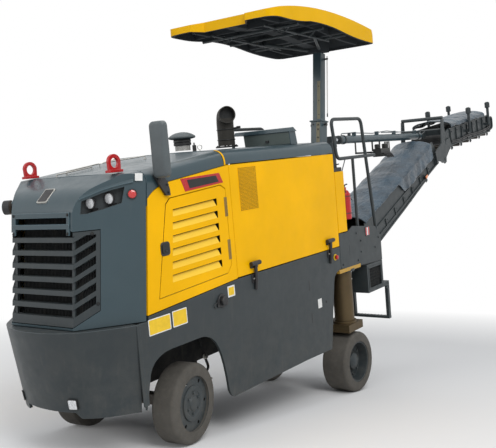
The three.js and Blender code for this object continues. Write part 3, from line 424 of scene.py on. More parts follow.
class Shape:
    """A mesh under construction. Each call adds one closed body to it."""

    def __init__(self):
        self.bm = bmesh.new()
        self.slot = 0

    def use(self, slot):
        self.slot = slot
        return self

    def face(self, verts):
        made = self.bm.faces.new(verts)
        made.material_index = self.slot
        return made

    def rings(self, rings, closed=True):
        """Skins a list of rings of points, with a cap on each end or a pole where a ring is one point."""
        rows = [[self.bm.verts.new(p) for p in ring] for ring in rings]
        for a, b in zip(rows, rows[1:]):
            n = max(len(a), len(b))
            for i in range(n):
                j = (i + 1) % n
                if len(a) == 1:
                    self.face((a[0], b[j], b[i]))
                elif len(b) == 1:
                    self.face((a[i], a[j], b[0]))
                else:
                    self.face((a[i], a[j], b[j], b[i]))
        if closed:
            for row in (rows[0], rows[-1]):
                if len(row) > 2:
                    self.face(row)
        return self

    def prism(self, outline, axis, low, high):
        """An outline in the other two axes, extruded along x, y or z."""
        place = AXIS_ORDER[axis]
        return self.rings([[place(a, b, c) for a, b in outline] for c in (low, high)])

    def side_prism(self, outline, side, near, far):
        """A prism along x on one side of the middle, between two distances from it."""
        return self.prism(outline, "x", *sorted((side * near, side * far)))

    def box(self, x0, x1, y0, y1, z0, z1):
        return self.prism([(x0, y0), (x1, y0), (x1, y1), (x0, y1)], "z", z0, z1)

    def tube(self, points, radius, sides=12, end_radius=None):
        """A round bar along points, its section carried without twist."""
        p = [Vector(q) for q in points]
        tangents = [(p[min(i + 1, len(p) - 1)] - p[max(i - 1, 0)]).normalized() for i in range(len(p))]
        side = tangents[0].orthogonal().normalized()
        rings = []
        for i, (q, t) in enumerate(zip(p, tangents)):
            side = (side - t * side.dot(t)).normalized()
            other = t.cross(side)
            r = radius if end_radius is None else radius + (end_radius - radius) * i / (len(p) - 1)
            rings.append([q + (side * math.cos(a) + other * math.sin(a)) * r
                          for a in (2 * math.pi * k / sides for k in range(sides))])
        return self.rings(rings)

    def rod(self, a, b, radius, sides=16, end_radius=None):
        return self.tube([a, b], radius, sides, end_radius)

    def lathe(self, profile, centre, axis, sides=32):
        """A profile of (radius, distance along axis), turned about the axis through centre."""
        t = Vector(axis).normalized()
        side = t.orthogonal().normalized()
        other = t.cross(side)
        c = Vector(centre)
        rings = []
        for r, h in profile:
            if r == 0:
                rings.append([c + t * h])
            else:
                rings.append([c + t * h + (side * math.cos(a) + other * math.sin(a)) * r
                              for a in (2 * math.pi * k / sides for k in range(sides))])
        return self.rings(rings, closed=False)

    def ring(self, centre, axis, radius, thick, around=32, sides=10):
        """A closed round ring."""
        t = Vector(axis).normalized()
        side = t.orthogonal().normalized()
        other = t.cross(side)
        c = Vector(centre)
        rows = []
        for i in range(around):
            a = 2 * math.pi * i / around
            out = side * math.cos(a) + other * math.sin(a)
            rows.append([self.bm.verts.new(c + out * (radius + thick * math.cos(b)) + t * thick * math.sin(b))
                         for b in (2 * math.pi * k / sides for k in range(sides))])
        for i in range(around):
            a, b = rows[i], rows[(i + 1) % around]
            for k in range(sides):
                m = (k + 1) % sides
                self.face((a[k], a[m], b[m], b[k]))
        return self

    def bolt(self, at, axis, across=17, high=9, washer=None):
        """A hexagon head on a washer."""
        t = Vector(axis).normalized()
        r = across / 2
        self.lathe([(0, 0), (washer or across * 0.72, 0), (washer or across * 0.72, 2.5), (0, 2.5)], at, t,
                   20)
        self.lathe([(0, 2), (r, 2), (r, high - 1.5), (r * 0.82, high), (0, high)], at, t, 6)
        return self

    def plate(self, outline, axis, low, high, hole):
        """A flat plate; hole is (a, b, radius) of a round hole through it along the axis."""
        a0, b0, radius = hole
        place = AXIS_ORDER[axis]
        angles = [math.atan2(b - b0, a - a0) for a, b in outline]
        inner = [(a0 + radius * math.cos(t), b0 + radius * math.sin(t)) for t in angles]
        rows = [[self.bm.verts.new(place(a, b, c)) for a, b in line]
                for line, c in ((outline, low), (outline, high), (inner, high), (inner, low))]
        n = len(outline)
        for i in range(4):
            first, second = rows[i], rows[(i + 1) % 4]
            for k in range(n):
                m = (k + 1) % n
                self.face((first[k], first[m], second[m], second[k]))
        return self


def settle(obj):
    """Turns an object's modifiers into its mesh."""
    bpy.context.view_layer.update()
    made = bpy.data.meshes.new_from_object(obj.evaluated_get(bpy.context.evaluated_depsgraph_get()))
    old = obj.data
    obj.modifiers.clear()
    obj.data = made
    bpy.data.meshes.remove(old)
    made.name = obj.name
    return obj


def soften(obj, width, segments=2, angle=28, edge_slot=-1):
    """Rounds an object's sharp edges and evens out its shading."""
    if width:
        bevel = obj.modifiers.new("bevel", "BEVEL")
        bevel.width = width * MM
        bevel.segments = segments
        bevel.limit_method = "ANGLE"
        bevel.angle_limit = math.radians(angle)
        bevel.material = edge_slot
        bevel.use_clamp_overlap = True
    weighted = obj.modifiers.new("weighted", "WEIGHTED_NORMAL")
    weighted.keep_sharp = True
    weighted.weight = 60
    return settle(obj)


def smooth_shade(mesh, angle=32):
    for polygon in mesh.polygons:
        polygon.use_smooth = True
    mesh.set_sharp_from_angle(angle=math.radians(angle))


def link(name, mesh, materials):
    for material in materials:
        mesh.materials.append(material)
    obj = bpy.data.objects.new(name, mesh)
    SCENE.collection.objects.link(obj)
    return obj


def cutter(shape, place=BODY):
    """A hidden solid that is cut out of a piece and then thrown away."""
    bmesh.ops.recalc_face_normals(shape.bm, faces=shape.bm.faces)
    mesh = bpy.data.meshes.new("cutter")
    shape.bm.to_mesh(mesh)
    shape.bm.free()
    mesh.transform(place)
    return link("cutter", mesh, [])


def carve(obj, cutters):
    for tool in cutters:
        boolean = obj.modifiers.new("cut", "BOOLEAN")
        boolean.operation = "DIFFERENCE"
        boolean.solver = "EXACT"
        boolean.object = tool
    settle(obj)
    for tool in cutters:
        bpy.data.objects.remove(tool)


def piece(name, shape, materials, body, bevel=1.5, place=BODY, angle=32, segments=2, edge=-1,
          cutters=()):
    """Makes an object from a shape, in place, riding on a body."""
    materials = materials if isinstance(materials, (list, tuple)) else [materials]
    bmesh.ops.recalc_face_normals(shape.bm, faces=shape.bm.faces)
    mesh = bpy.data.meshes.new(name)
    shape.bm.to_mesh(mesh)
    shape.bm.free()
    mesh.transform(place)
    if place.determinant() < 0:
        mesh.flip_normals()
    obj = link(name, mesh, materials)
    if cutters:
        carve(obj, cutters)
    smooth_shade(obj.data, angle)
    soften(obj, bevel, segments, angle - 4, edge)
    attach(obj, body)
    return obj


def body_of(node):
    for name, nodes in RECORD["behaviour"]["bodies"].items():
        if node in nodes:
            return name
    raise KeyError(node)


def clean_copy(node):
    """The node's mesh without doubled points and without the lines across its flat faces."""
    bm = bmesh.new()
    bm.from_mesh(frame["nodes"][node].data)
    bmesh.ops.remove_doubles(bm, verts=bm.verts, dist=0.3 * MM)
    bmesh.ops.dissolve_degenerate(bm, edges=bm.edges, dist=0.2 * MM)
    bmesh.ops.dissolve_limit(bm, angle_limit=math.radians(0.8), verts=bm.verts, edges=bm.edges)
    mesh = bpy.data.meshes.new(node)
    bm.to_mesh(mesh)
    bm.free()
    mesh.materials.clear()
    return mesh


def refined(node, materials, bevel=4, segments=2, angle=32, cutters=(), edge=1):
    """Stands for a CAD node with its own shape, its edges rounded and its shading evened."""
    obj = link(f"{node}_body", clean_copy(node), materials)
    if cutters:
        carve(obj, cutters)
    smooth_shade(obj.data, angle)
    soften(obj, bevel, segments, angle - 4, edge if len(materials) > 1 else -1)
    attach(obj, body_of(node))
    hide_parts(node)
    return obj


def repaint(node, material):
    mesh_object = frame["nodes"][node]
    for entry in mesh_object.material_slots:
        entry.material = material


SIDES = (("left", 1), ("right", -1))
MIRROR_X = Matrix.Scale(-1, 4, (1, 0, 0))


def hand(side):
    """The body frame, mirrored for the machine's right side."""
    return BODY if side > 0 else BODY @ MIRROR_X


# ---------------------------------------------------------------- camera, lights and floor
CAMERA_AT = (4.2293, AXLE.y - 4.3059, 1.4856)
CAMERA_YAW, CAMERA_TILT, CAMERA_ROLL = (math.radians(degrees) for degrees in (35.94, 1.4714, 0.1266))
LENS_MM = 54.99145


def set_camera():
    flat = math.cos(CAMERA_TILT)
    forward = Vector((-math.sin(CAMERA_YAW) * flat, math.cos(CAMERA_YAW) * flat, math.sin(CAMERA_TILT)))
    right = Vector((math.cos(CAMERA_YAW), math.sin(CAMERA_YAW), 0.0))
    up = right.cross(forward)
    right_rolled = right * math.cos(CAMERA_ROLL) + up * math.sin(CAMERA_ROLL)
    up_rolled = up * math.cos(CAMERA_ROLL) - right * math.sin(CAMERA_ROLL)
    data = bpy.data.cameras.new("camera")
    data.sensor_width = 36.0
    data.lens = LENS_MM
    data.clip_end = 200
    camera = bpy.data.objects.new("camera", data)
    SCENE.collection.objects.link(camera)
    turn = Matrix((right_rolled, up_rolled, -forward)).transposed().to_4x4()
    camera.matrix_world = Matrix.Translation(CAMERA_AT) @ turn
    SCENE.camera = camera


def seen_directly(nodes, links):
    """1 for what the camera, a reflection or a refraction shows, 0 for what lights the object."""
    path = nodes.new("ShaderNodeLightPath")
    first = nodes.new("ShaderNodeMath")
    first.operation = "MAXIMUM"
    second = nodes.new("ShaderNodeMath")
    second.operation = "MAXIMUM"
    links.new(path.outputs["Is Camera Ray"], first.inputs[0])
    links.new(path.outputs["Is Glossy Ray"], first.inputs[1])
    links.new(first.outputs["Value"], second.inputs[0])
    links.new(path.outputs["Is Transmission Ray"], second.inputs[1])
    return second.outputs["Value"]


def set_world():
    world = bpy.data.worlds.new("studio")
    SCENE.world = world
    world.use_nodes = True
    nodes, links = world.node_tree.nodes, world.node_tree.links
    plain = nodes["Background"]
    plain.inputs["Color"].default_value = (0.93, 0.96, 1.0, 1.0)
    plain.inputs["Strength"].default_value = 0.40
    white = nodes.new("ShaderNodeBackground")
    white.inputs["Color"].default_value = (1.0, 1.0, 1.0, 1.0)
    white.inputs["Strength"].default_value = 1.0
    mix = nodes.new("ShaderNodeMixShader")
    links.new(seen_directly(nodes, links), mix.inputs[0])
    links.new(plain.outputs[0], mix.inputs[1])
    links.new(white.outputs[0], mix.inputs[2])
    links.new(mix.outputs[0], nodes["World Output"].inputs["Surface"])


def area_lamp(name, at, toward, size, power):
    data = bpy.data.lights.new(name, "AREA")
    data.shape = "RECTANGLE"
    data.size, data.size_y = size
    data.energy = power
    lamp = bpy.data.objects.new(name, data)
    SCENE.collection.objects.link(lamp)
    lamp.location = at
    lamp.rotation_euler = (Vector(toward) - Vector(at)).to_track_quat("-Z", "Y").to_euler()


def set_lights():
    area_lamp("key", (9.0, -7.5, 9.5), (0.0, -1.0, 1.0), (7.0, 7.0), 850)
    area_lamp("top", (0.5, -1.0, 11.0), (0.0, 0.0, 1.0), (10.0, 12.0), 430)
    area_lamp("front", (-5.0, -12.0, 5.0), (0.0, -2.0, 1.2), (6.0, 5.0), 230)


def set_floor():
    """A pale floor that fades to white away from the machine and keeps its shadow."""
    bm = bmesh.new()
    bmesh.ops.create_circle(bm, cap_ends=True, segments=96, radius=70.0)
    mesh = bpy.data.meshes.new("floor")
    bm.to_mesh(mesh)
    bm.free()
    g = Graph("studio_floor")
    g.set(Base_Color=(0.84, 0.84, 0.84), Roughness=0.9, Specular_IOR_Level=0.0)
    glow = g.nodes.new("ShaderNodeEmission")
    glow.inputs["Color"].default_value = (1.0, 1.0, 1.0, 1.0)
    distance = g.nodes.new("ShaderNodeVectorMath")
    distance.operation = "LENGTH"
    g.links.new(g.place, distance.inputs[0])
    fade = g.span(distance.outputs["Value"], 3.2, 8.5)
    mix = g.nodes.new("ShaderNodeMixShader")
    factor = g.math("MULTIPLY", fade, seen_directly(g.nodes, g.links))
    g.links.new(factor, mix.inputs[0])
    g.links.new(g.shader.outputs[0], mix.inputs[1])
    g.links.new(glow.outputs[0], mix.inputs[2])
    g.links.new(mix.outputs[0], g.nodes["Material Output"].inputs["Surface"])
    floor = link("floor", mesh, [g.material])
    floor.location = (0, 0, -0.001)


SCENE.view_settings.view_transform = "Standard"
set_camera()
set_world()
set_lights()
set_floor()


# ---------------------------------------------------------------- wheels
def tyre_profile(half):
    """A solid tyre's section as (radius, distance across), from the bead out over the tread."""
    r = WHEEL_R - 0.6
    return [
        (204, -half + 3), (212, -half + 1), (262, -half + 0.5), (277, -half + 3), (288, -half + 9),
        (295, -half + 17),
        (r, -half + 30), (r, 0), (r, half - 30), (295, half - 17), (288, half - 9), (277, half - 3),
        (262, half - 0.5), (212, half - 1), (204, half - 3), (204, -half + 3),
    ]


def front_disc(shape, half, out):
    """Pressed disc of a front wheel, nearly flush with the tyre: six round holes around a raised hub."""
    web = out * (half - 26)
    lip = out * (half - 5)
    shape.lathe([(204, lip), (236, lip), (240, lip - out * 4), (240, web), (236, web), (228, lip - out * 6),
                 (204, lip - out * 6), (204, lip)], (0, 0, 0), (1, 0, 0), 96)
    ring_r, hole_r = 177, 15
    sector = 2 * math.pi / 6
    for i in range(6):
        middle = sector * i
        arc = [middle - sector / 2 + sector * k / 8 for k in range(9)]
        outline = [(229 * math.cos(a), 229 * math.sin(a)) for a in arc]
        outline += [(120 * math.cos(a), 120 * math.sin(a)) for a in reversed(arc)]
        hole = (ring_r * math.cos(middle), ring_r * math.sin(middle), hole_r)
        low, high = sorted((web - out * 7, web))
        shape.plate(outline, "x", low, high, hole)
    hub = [(0, 20), (40, 20), (50, 17), (56, 8), (92, 6), (98, 12), (124, 13), (131, 10), (134, 0), (134, -8),
           (0, -8)]
    shape.lathe([(r, web + out * h) for r, h in hub], (0, 0, 0), (1, 0, 0), 64)
    for i in range(6):
        a = sector * (i + 0.5)
        shape.bolt((web + out * 7, 76 * math.cos(a), 76 * math.sin(a)), (out, 0, 0), 19, 11)


def rear_disc(shape, half, out):
    """Deep rim of a rear wheel, with the drive motor's dome at its bottom."""
    web = out * (half - 104)
    lip = out * (half - 10)
    shape.lathe([(203, lip), (190, lip), (184, web), (110, web), (110, web - out * 8), (203, web - out * 8),
                 (203, lip)],
                (0, 0, 0), (1, 0, 0), 96)
    dome = [(0, 66), (34, 64), (62, 56), (80, 42), (88, 22), (90, 0), (118, 0), (118, -6), (0, -6)]
    shape.lathe([(r, web + out * h) for r, h in dome], (0, 0, 0), (1, 0, 0), 48)
    for i in range(10):
        a = 2 * math.pi * i / 10
        shape.bolt((web, 146 * math.cos(a), 146 * math.sin(a)), (out, 0, 0), 22, 17)


def make_wheels():
    for name, side in SIDES:
        for end, disc, half in (("front", front_disc, 99), ("rear", rear_disc, 134.5)):
            spin = f"{end}_wheel_{name}_spin"
            place = wheel_frame(spin)
            body = f"{end}_wheel_{name}"
            tread = Shape().lathe(tyre_profile(half), (0, 0, 0), (1, 0, 0), 128)
            tyre = piece(f"{body}_tyre", tread, TYRE, body, 0, place, 30)
            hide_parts(f"{end}_tyre_{name}")
            metal = Shape()
            disc(metal, half, side)
            rim = piece(f"{body}_rim", metal, SLATE_SET, body, 1.5, place, edge=1)
            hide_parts(f"{end}_rim_{name}")


make_wheels()


# ---------------------------------------------------------------- small makers
def rounded_rect(a0, a1, b0, b1, radius, steps=5):
    """Outline of a rectangle with round corners."""
    points = []
    corners = ((a1 - radius, b1 - radius, 0), (a0 + radius, b1 - radius, 90),
               (a0 + radius, b0 + radius, 180), (a1 - radius, b0 + radius, 270))
    for a, b, start in corners:
        for i in range(steps + 1):
            t = math.radians(start + 90 * i / steps)
            points.append((a + radius * math.cos(t), b + radius * math.sin(t)))
    return points


def tray(shape, outline, place, depth, wall=4):
    """An open box pushed in from a surface: place(a, b, d) gives the point d below outline (a, b)."""
    ca = sum(a for a, _ in outline) / len(outline)
    cb = sum(b for _, b in outline) / len(outline)
    inner = []
    for a, b in outline:
        reach = math.hypot(a - ca, b - cb)
        keep = (reach - wall) / reach
        inner.append((ca + (a - ca) * keep, cb + (b - cb) * keep))
    rings = [
        [place(a, b, depth) for a, b in inner], [place(a, b, 1) for a, b in inner],
        [place(a, b, 1) for a, b in outline], [place(a, b, depth + wall) for a, b in outline],
    ]
    return shape.rings(rings)


def blank_plate(name, outline, face, materials, place=BODY, body="chassis",
                border=5):
    """A thin blank plate on a side panel, with a border in the second material."""
    a = [p[0] for p in outline]
    b = [p[1] for p in outline]
    ca, cb = sum(a) / len(a), sum(b) / len(b)
    half = max(a) - ca
    high = max(b) - cb
    inner = [(ca + (p - ca) * (1 - border / half), cb + (q - cb) * (1 - border / high)) for p, q in outline]
    shape = Shape().use(1).prism(outline, "x", face, face + 1.2)
    shape.use(0).prism(inner, "x", face + 1.2, face + 1.8)
    return piece(name, shape, materials, body, 0, place)


# ---------------------------------------------------------------- nose
NOSE_FRONT = -790
NOSE_KINK = 322
WING = (0.656, 0.755)


def rake(x, y, z):
    return (x, y + RAKE * (z - RAKE_Z), z)


def on_front(x, z, out=0.0):
    return rake(x, NOSE_FRONT - out, z)


def on_wing(along, z, out=0.0):
    """Point on the nose's left wing, that far along from its front corner."""
    return rake(NOSE_KINK + WING[0] * along + WING[1] * out, NOSE_FRONT + WING[1] * along - WING[0] * out, z)


POCKET = [(52, 1790), (98, 1789), (216, 1811), (330, 1839), (350, 1948), (258, 1934), (184, 1917),
          (105, 1890), (58, 1876)]
POCKET_DEPTH = 62


def lamp_pockets():
    tools = []
    for _, side in SIDES:
        shape = Shape()
        shape.rings([[on_wing(a, z, out) for a, z in POCKET] for out in (40, -POCKET_DEPTH)])
        tools.append(cutter(shape, hand(side)))
    return tools


def round_lamp(shape, at, axis, radius, glass, shell, ring):
    """A round lamp: a finned bowl behind a bezel, and a slightly domed lens."""
    bowl = [(0, -0.95), (0.35, -0.95), (0.62, -0.8), (0.86, -0.4), (0.95, -0.1), (0.95, 0), (0, 0)]
    bezel = [(0.88, 0.02), (0.88, 0.16), (0.93, 0.2), (1.0, 0.17), (1.03, 0.05), (1.03, -0.12), (0.93, -0.14),
             (0.88, 0.02)]
    lens = [(0, 0.17), (0.45, 0.15), (0.75, 0.1), (0.885, 0.04), (0.885, -0.03), (0, -0.03)]
    shape.use(shell).lathe([(r * radius, h * radius) for r, h in bowl], at, axis, 32)
    shape.use(ring).lathe([(r * radius, h * radius) for r, h in bezel], at, axis, 32)
    shape.use(glass).lathe([(r * radius, h * radius) for r, h in lens], at, axis, 32)


def make_headlamps(name, place):
    """Two round lamps in a pocket of the nose's wing."""
    shape = Shape()
    tray(shape, POCKET, lambda a, z, d: on_wing(a, z, -d), POCKET_DEPTH)
    piece(f"lamp_pocket_{name}", shape, SLATE_SET, "chassis", 2, place, edge=1)
    lamps = Shape()
    for along, z in ((131, 1856), (258, 1876)):
        x, y, _ = on_wing(along, z, -34)
        round_lamp(lamps, (x, y - 16, z), (0.12, -0.99, 0), 41, 0, 1, 1)
        lamps.use(1).box(x - 9, x + 9, y - 6, y + 44, z - 52, z - 36)
    piece(f"headlamps_{name}", lamps, [LENS, PLASTIC], "chassis", 1, place)


def make_nose_lamps():
    axis = (0.775, -0.625, 0.085)
    crease = [(44, 1880), (58, 1889), (105, 1903), (184, 1930), (258, 1947), (340, 1962), (405, 1970)]
    for name, side in SIDES:
        place = hand(side)
        make_headlamps(name, place)
        marker = Shape()
        at = Vector(on_wing(398, 1893, 3))
        marker.use(1).lathe([(0, -8), (35, -8), (35, 4), (32, 7), (0, 7)], at, axis, 32)
        marker.use(0).lathe([(0, 15), (16, 14), (26, 11), (29, 6), (0, 6)], at, axis, 32)
        piece(f"side_marker_{name}", marker, [LENS_RED, PLASTIC], "chassis", 0, place)
        lip = Shape()
        lip.rings([[on_wing(a, z, -4), on_wing(a, z - 1, 9), on_wing(a, z + 7, 10), on_wing(a, z + 26, -3)]
                   for a, z in crease])
        piece(f"lamp_brow_{name}", lip, LIGHT_SET, "chassis", 2, place, edge=1)
        if side > 0:
            label = Shape().lathe([(0, 0), (36, 0), (36, 1.6), (0, 1.6)], Vector(on_wing(443, 2004, 6)), axis,
                                  4)
            piece("nose_label", label, LABEL_WHITE, "chassis", 0)


def make_nose_frame():
    """Raised frame around the upper slots, with a blank badge plate above it."""
    frame_bars = Shape()
    out = 9

    def bar_across(x0, x1, z0, z1, rise=out):
        corners = [(x0, z0), (x1, z0), (x1, z1), (x0, z1)]
        frame_bars.rings([[on_front(x, z, d) for x, z in corners] for d in (-6, rise)])

    bar_across(-300, 300, 1775, 1812)
    bar_across(-300, 300, 1699, 1733)
    bar_across(-300, -270, 1655, 1812, out - 1)
    bar_across(270, 300, 1655, 1812, out - 1)
    piece("nose_frame", frame_bars, LIGHT_SET, "chassis", 4, edge=1)
    bolts = Shape()
    for x in (-286, 286):
        for z in (1795, 1668):
            bolts.bolt(on_front(x, z, out), (0, -1, 0.13), 15, 8)
    for x in (-1, 1):
        for along, z in ((131, 1655), (170, 1185)):
            px, py, pz = on_wing(along, z, -6)
            bolts.bolt((x * px, py, pz), (x * 0.75, -0.66, 0.09), 17, 9)
    piece("nose_bolts", bolts, DARK, "chassis", 0.5)
    tilt = Vector((0, -0.66, 0.75)).normalized()
    up = Vector((0, 0.75, 0.66)).normalized()
    centre = Vector((-14, -620, 1921))
    badge = Shape()
    for slot, half, high, low, top in ((1, 52, 66, -8, 8), (0, 44, 58, 8, 10)):
        outline = rounded_rect(-half, half, -high, high, 9)
        badge.use(slot).rings([[centre + Vector((a, 0, 0)) + up * b + tilt * d for a, b in outline]
                               for d in (low, top)])
    piece("blank_nose_badge", badge, [PLASTIC, ZINC], "chassis", 1.5)


def make_radiator():
    """Near-black core with fins behind the grille, and the hood's dark lining at the nose: the radiator's own
    dark colour, and painted shade that keeps the inside behind the grille dark.
    """
    core = Shape()
    back, front = 96, 70
    half = 436
    outline = ((-half, front), (-250, front), (250, front), (half, front),
               (half, back), (250, back), (-250, back), (-half, back))
    core.rings([[rake(x, NOSE_FRONT + d + max(0, abs(x) - 250) * 0.75, z) for x, d in outline]
                for z in (1046, 1790)])
    fins = 60
    for i in range(fins):
        x = -half + 2 * half * (i + 0.5) / fins
        lead = NOSE_FRONT + front - 7 + max(0, abs(x) - 250) * 0.75
        core.rings([[rake(x - 1, lead, z), rake(x + 1, lead, z), rake(x + 1, lead + 9, z),
                     rake(x - 1, lead + 9, z)]
                    for z in (1050, 1786)])
    # Near-black: the core's dark colour, and painted shade behind the grille.
    piece("radiator_core", core, DARK, "chassis", 0)


def make_handrails():
    """Thin grab rails on the sloping hood."""
    for number, points in enumerate((
        [(-150, -395, 2062), (-150, -300, 2070), (-135, -60, 2096)],
        [(-205, -250, 2078), (-205, 90, 2118), (60, 330, 2148)],
    )):
        rail = Shape()
        rail.tube(rounded_path(points, 40), 5, 8)
        for x, y, z in (points[0], points[1], points[-1]):
            rail.rod((x, y, z), (x, y, z - 26), 4, 8)
            rail.lathe([(0, 0), (13, 0), (13, 4), (0, 4)], (x, y, z - 26), (0, -0.107, 1), 12)
        piece(f"hood_rail_{number + 1}", rail, ZINC, "chassis", 0)


def make_skirt_fittings():
    spots = (("left", (243, -800, 512), (0.29, -0.95, -0.14), 62, 66),
             ("right", (-346, -752, 492), (-0.49, -0.86, -0.13), 34, 62))
    for name, at, axis, wide, high in spots:
        normal = Vector(axis).normalized()
        across = Vector((0, 0, 1)).cross(normal).normalized()
        up = normal.cross(across)
        shape = Shape()
        centre = Vector(at)
        for slot, grow, low, top in ((1, 5, -4, 5), (0, 0, 5, 7.5)):
            outline = rounded_rect(-wide / 2 - grow, wide / 2 + grow, -high / 2 - grow, high / 2 + grow, 7)
            shape.use(slot).rings([[centre + across * a + up * b + normal * d for a, b in outline]
                                   for d in (low, top)])
        piece(f"skirt_reflector_{name}", shape, [LENS, PLASTIC], "chassis", 1)


# ---------------------------------------------------------------- hood and its side panels
LOUVRES = 6
DOOR_OUTLINE = [(-271, 1150), (522, 1190), (573, 1250), (573, 1838), (515, 1872), (-70, 1830), (-118, 1790)]


def louvre_lines(i):
    """The i-th louvre from the top: its ends in y, and top and bottom edges at each end."""
    return (-56 - 13.2 * i, 461), (1750 - 92.4 * i, 1779 - 94.8 * i), (1700 - 93 * i, 1725 - 95.2 * i)


def make_louvre_blades(name, place, body):
    """Slanting blades behind the slots of a door, in a lighter yellow than the door: a painted highlight for
    the light they catch from above.
    """
    blades = Shape()
    for i in range(LOUVRES):
        (y0, y1), (top0, top1), (low0, low1) = louvre_lines(i)
        rows = ((y0 - 2, y0 - 2, low0, top0), (y1 - 10, y1 - 24, low1, top1))
        blades.rings([
            [(HALF - 1, near, low - 2), (HALF - 4, near, low - 2), (HALF - 22, far, top - 8),
             (HALF - 19, far, top - 8)]
            for near, far, low, top in rows])
    piece(f"louvre_blades_{name}", blades, BLADE_YELLOW_PAINTED_LIGHT, body, 0, place)


def make_door_shade_backing(name, place, body):
    """Near-black sheet behind the louvres, and the door's folded rim around it: painted shade for the dark
    inside of the door behind the slots.
    """
    sheet = [(-250, 1160), (555, 1198), (555, 1850), (-80, 1812), (-105, 1790)]
    rim = ((-262, 1153, -112, 1792), (-112, 1788, 512, 1866), (566, 1250, 569, 1836), (-262, 1152, 518, 1192))
    # Painted shade: the sheet and the rim are near-black, so that the slots look as dark as the shaded inside
    # of the door.
    lining = Shape().prism(sheet, "x", HALF - 34, HALF - 28)
    deep = Vector((-26, 0, 0))
    for ya, za, yb, zb in rim:
        run = Vector((0, yb - ya, zb - za)).normalized() * 5
        off = Vector((0, -run.z, run.y))
        ends = (Vector((HALF - 5, ya, za)), Vector((HALF - 5, yb, zb)))
        lining.rings([[p - off, p + off, p + off + deep, p - off + deep] for p in ends])
    piece(f"louvre_painted_shade_{name}", lining, DARK, body, 0, place)


def make_door_hinge(name, place, body, low, high):
    """A knuckled hinge whose barrel is on the door's own axis."""
    hinge = Shape()
    knuckle = (high - low) / 5
    for k in range(5):
        z = low + knuckle * k
        hinge.rod((HALF + 2, 576, z + 1), (HALF + 2, 576, z + knuckle - 1), 5, 12)
    hinge.box(HALF, HALF + 2.5, 548, 574, low, high)
    for z in (low + 25, (low + high) / 2, high - 25):
        hinge.lathe([(0, 0), (5, 0), (4, 3), (0, 3.5)], (HALF + 2.5, 560, z), (1, 0, 0), 12)
    piece(name, hinge, OCHRE_PLATE, body, 0.6, place)


def make_louvre_doors():
    for name, side in SIDES:
        body = body_of(f"louvre_door_{name}")
        place = hand(side)
        slots = Shape()
        for i in range(LOUVRES):
            (y0, y1), (top0, top1), (low0, low1) = louvre_lines(i)
            slots.prism([(y0, low0), (y1, low1), (y1, top1), (y0 + 6, top0)], "x", HALF - 30, HALF + 10)
        skin = Shape().prism(DOOR_OUTLINE, "x", HALF - 5, HALF)
        leaf = piece(f"louvre_leaf_{name}", skin, YELLOW_SET, body, 1.5, place, edge=1,
                     cutters=[cutter(slots, place)])
        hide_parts(f"louvre_door_{name}")
        make_louvre_blades(name, place, body)
        make_door_shade_backing(name, place, body)
        latch = Shape()
        latch.use(0).prism(rounded_rect(-218, -122, 1436, 1534, 24), "x", HALF, HALF + 5)
        latch.use(1).prism(rounded_rect(-206, -134, 1452, 1518, 16), "x", HALF + 5, HALF + 11)
        latch.use(0).lathe([(0, 0), (9, 0), (9, 4), (0, 4)], (HALF + 11, -170, 1470), (1, 0, 0), 16)
        piece(f"louvre_latch_{name}", latch, [PLASTIC, BLACK], body, 2, place)
        for number, (low, high) in enumerate(((1290, 1446), (1627, 1777))):
            make_door_hinge(f"door_hinge_{name}_{number + 1}", place, body, low, high)


def make_cover_vent(name, place):
    """Fine grid over a near-black sheet in the rear cover: painted shade in place of the dark opening behind
    the grid.
    """
    vent = Shape()
    y0, y1, z0, z1 = 758, 1003, 1646, 1991
    columns, rows, wire = 22, 32, 1.5
    # Near-black sheet flush under the grid: painted shade in place of an opening.
    vent.use(1).box(HALF, HALF + 0.8, y0, y1, z0, z1)
    vent.use(0)
    for i in range(columns + 1):
        y = y0 + (y1 - y0) * i / columns
        vent.box(HALF + 0.8, HALF + 3.2, y - wire, y + wire, z0, z1)
    for k in range(rows + 1):
        z = z0 + (z1 - z0) * k / rows
        vent.box(HALF + 0.8, HALF + 2.6, y0, y1, z - wire, z + wire)
    piece(f"cover_vent_{name}", vent, [YELLOW, DARK], body_of(f"rear_cover_{name}"), 0, place)


def make_cover_latch(name, place, y, base):
    """A rubber draw latch with a T handle, low on the rear cover."""
    latch = Shape()
    latch.prism(rounded_rect(y - 40, y + 40, base - 44, base + 28, 12), "x", HALF, HALF + 9)
    strap = [(HALF + 10, y, base - 100), (HALF + 20, y, base - 30), (HALF + 22, y, base + 40),
             (HALF + 24, y, base + 112)]
    latch.tube(rounded_path(strap, 40), 15, 12)
    latch.rod((HALF + 24, y - 62, base + 116), (HALF + 24, y + 62, base + 116), 19, 14)
    latch.use(1).rod((HALF + 12, y - 30, base - 8), (HALF + 12, y + 30, base - 8), 7, 10)
    latch.use(0).prism(rounded_rect(y - 50, y + 50, base + 78, base + 100, 9), "x", HALF, HALF + 12)
    piece(name, latch, [HOSE, ZINC], "chassis", 1.5, place)


def make_seam_trim(name, place):
    """Yellow strip over the seam between the hood's halves, rolled over its shoulder."""
    a, b, c = Vector((HALF, 0, CROWN - 110)), Vector((HALF - 4, 0, CROWN - 22)), Vector((HALF - 90, 0,
                                                                                         CROWN - 12))
    near, far = Vector((0, SEAM_Y - 2, 0)), Vector((0, SEAM_Y + 15, 0))
    rings = []
    for k in range(9):
        t = k / 8
        at = a.lerp(b, t).lerp(b.lerp(c, t), t)
        tangent = (b - a).lerp(c - b, t).normalized()
        out = Vector((tangent.z, 0, -tangent.x))
        if k == 0:
            low = at + Vector((0, 0, -20))
            rings.append([low + out * 3 + near, low + out * 3 + far, low + far, low + near])
        rings.append([at + out * 4 + near, at + out * 4 + far, at + out * 0.5 + far, at + out * 0.5 + near])
    piece(f"hood_seam_trim_{name}", Shape().rings(rings), YELLOW, "chassis", 0.8, place)


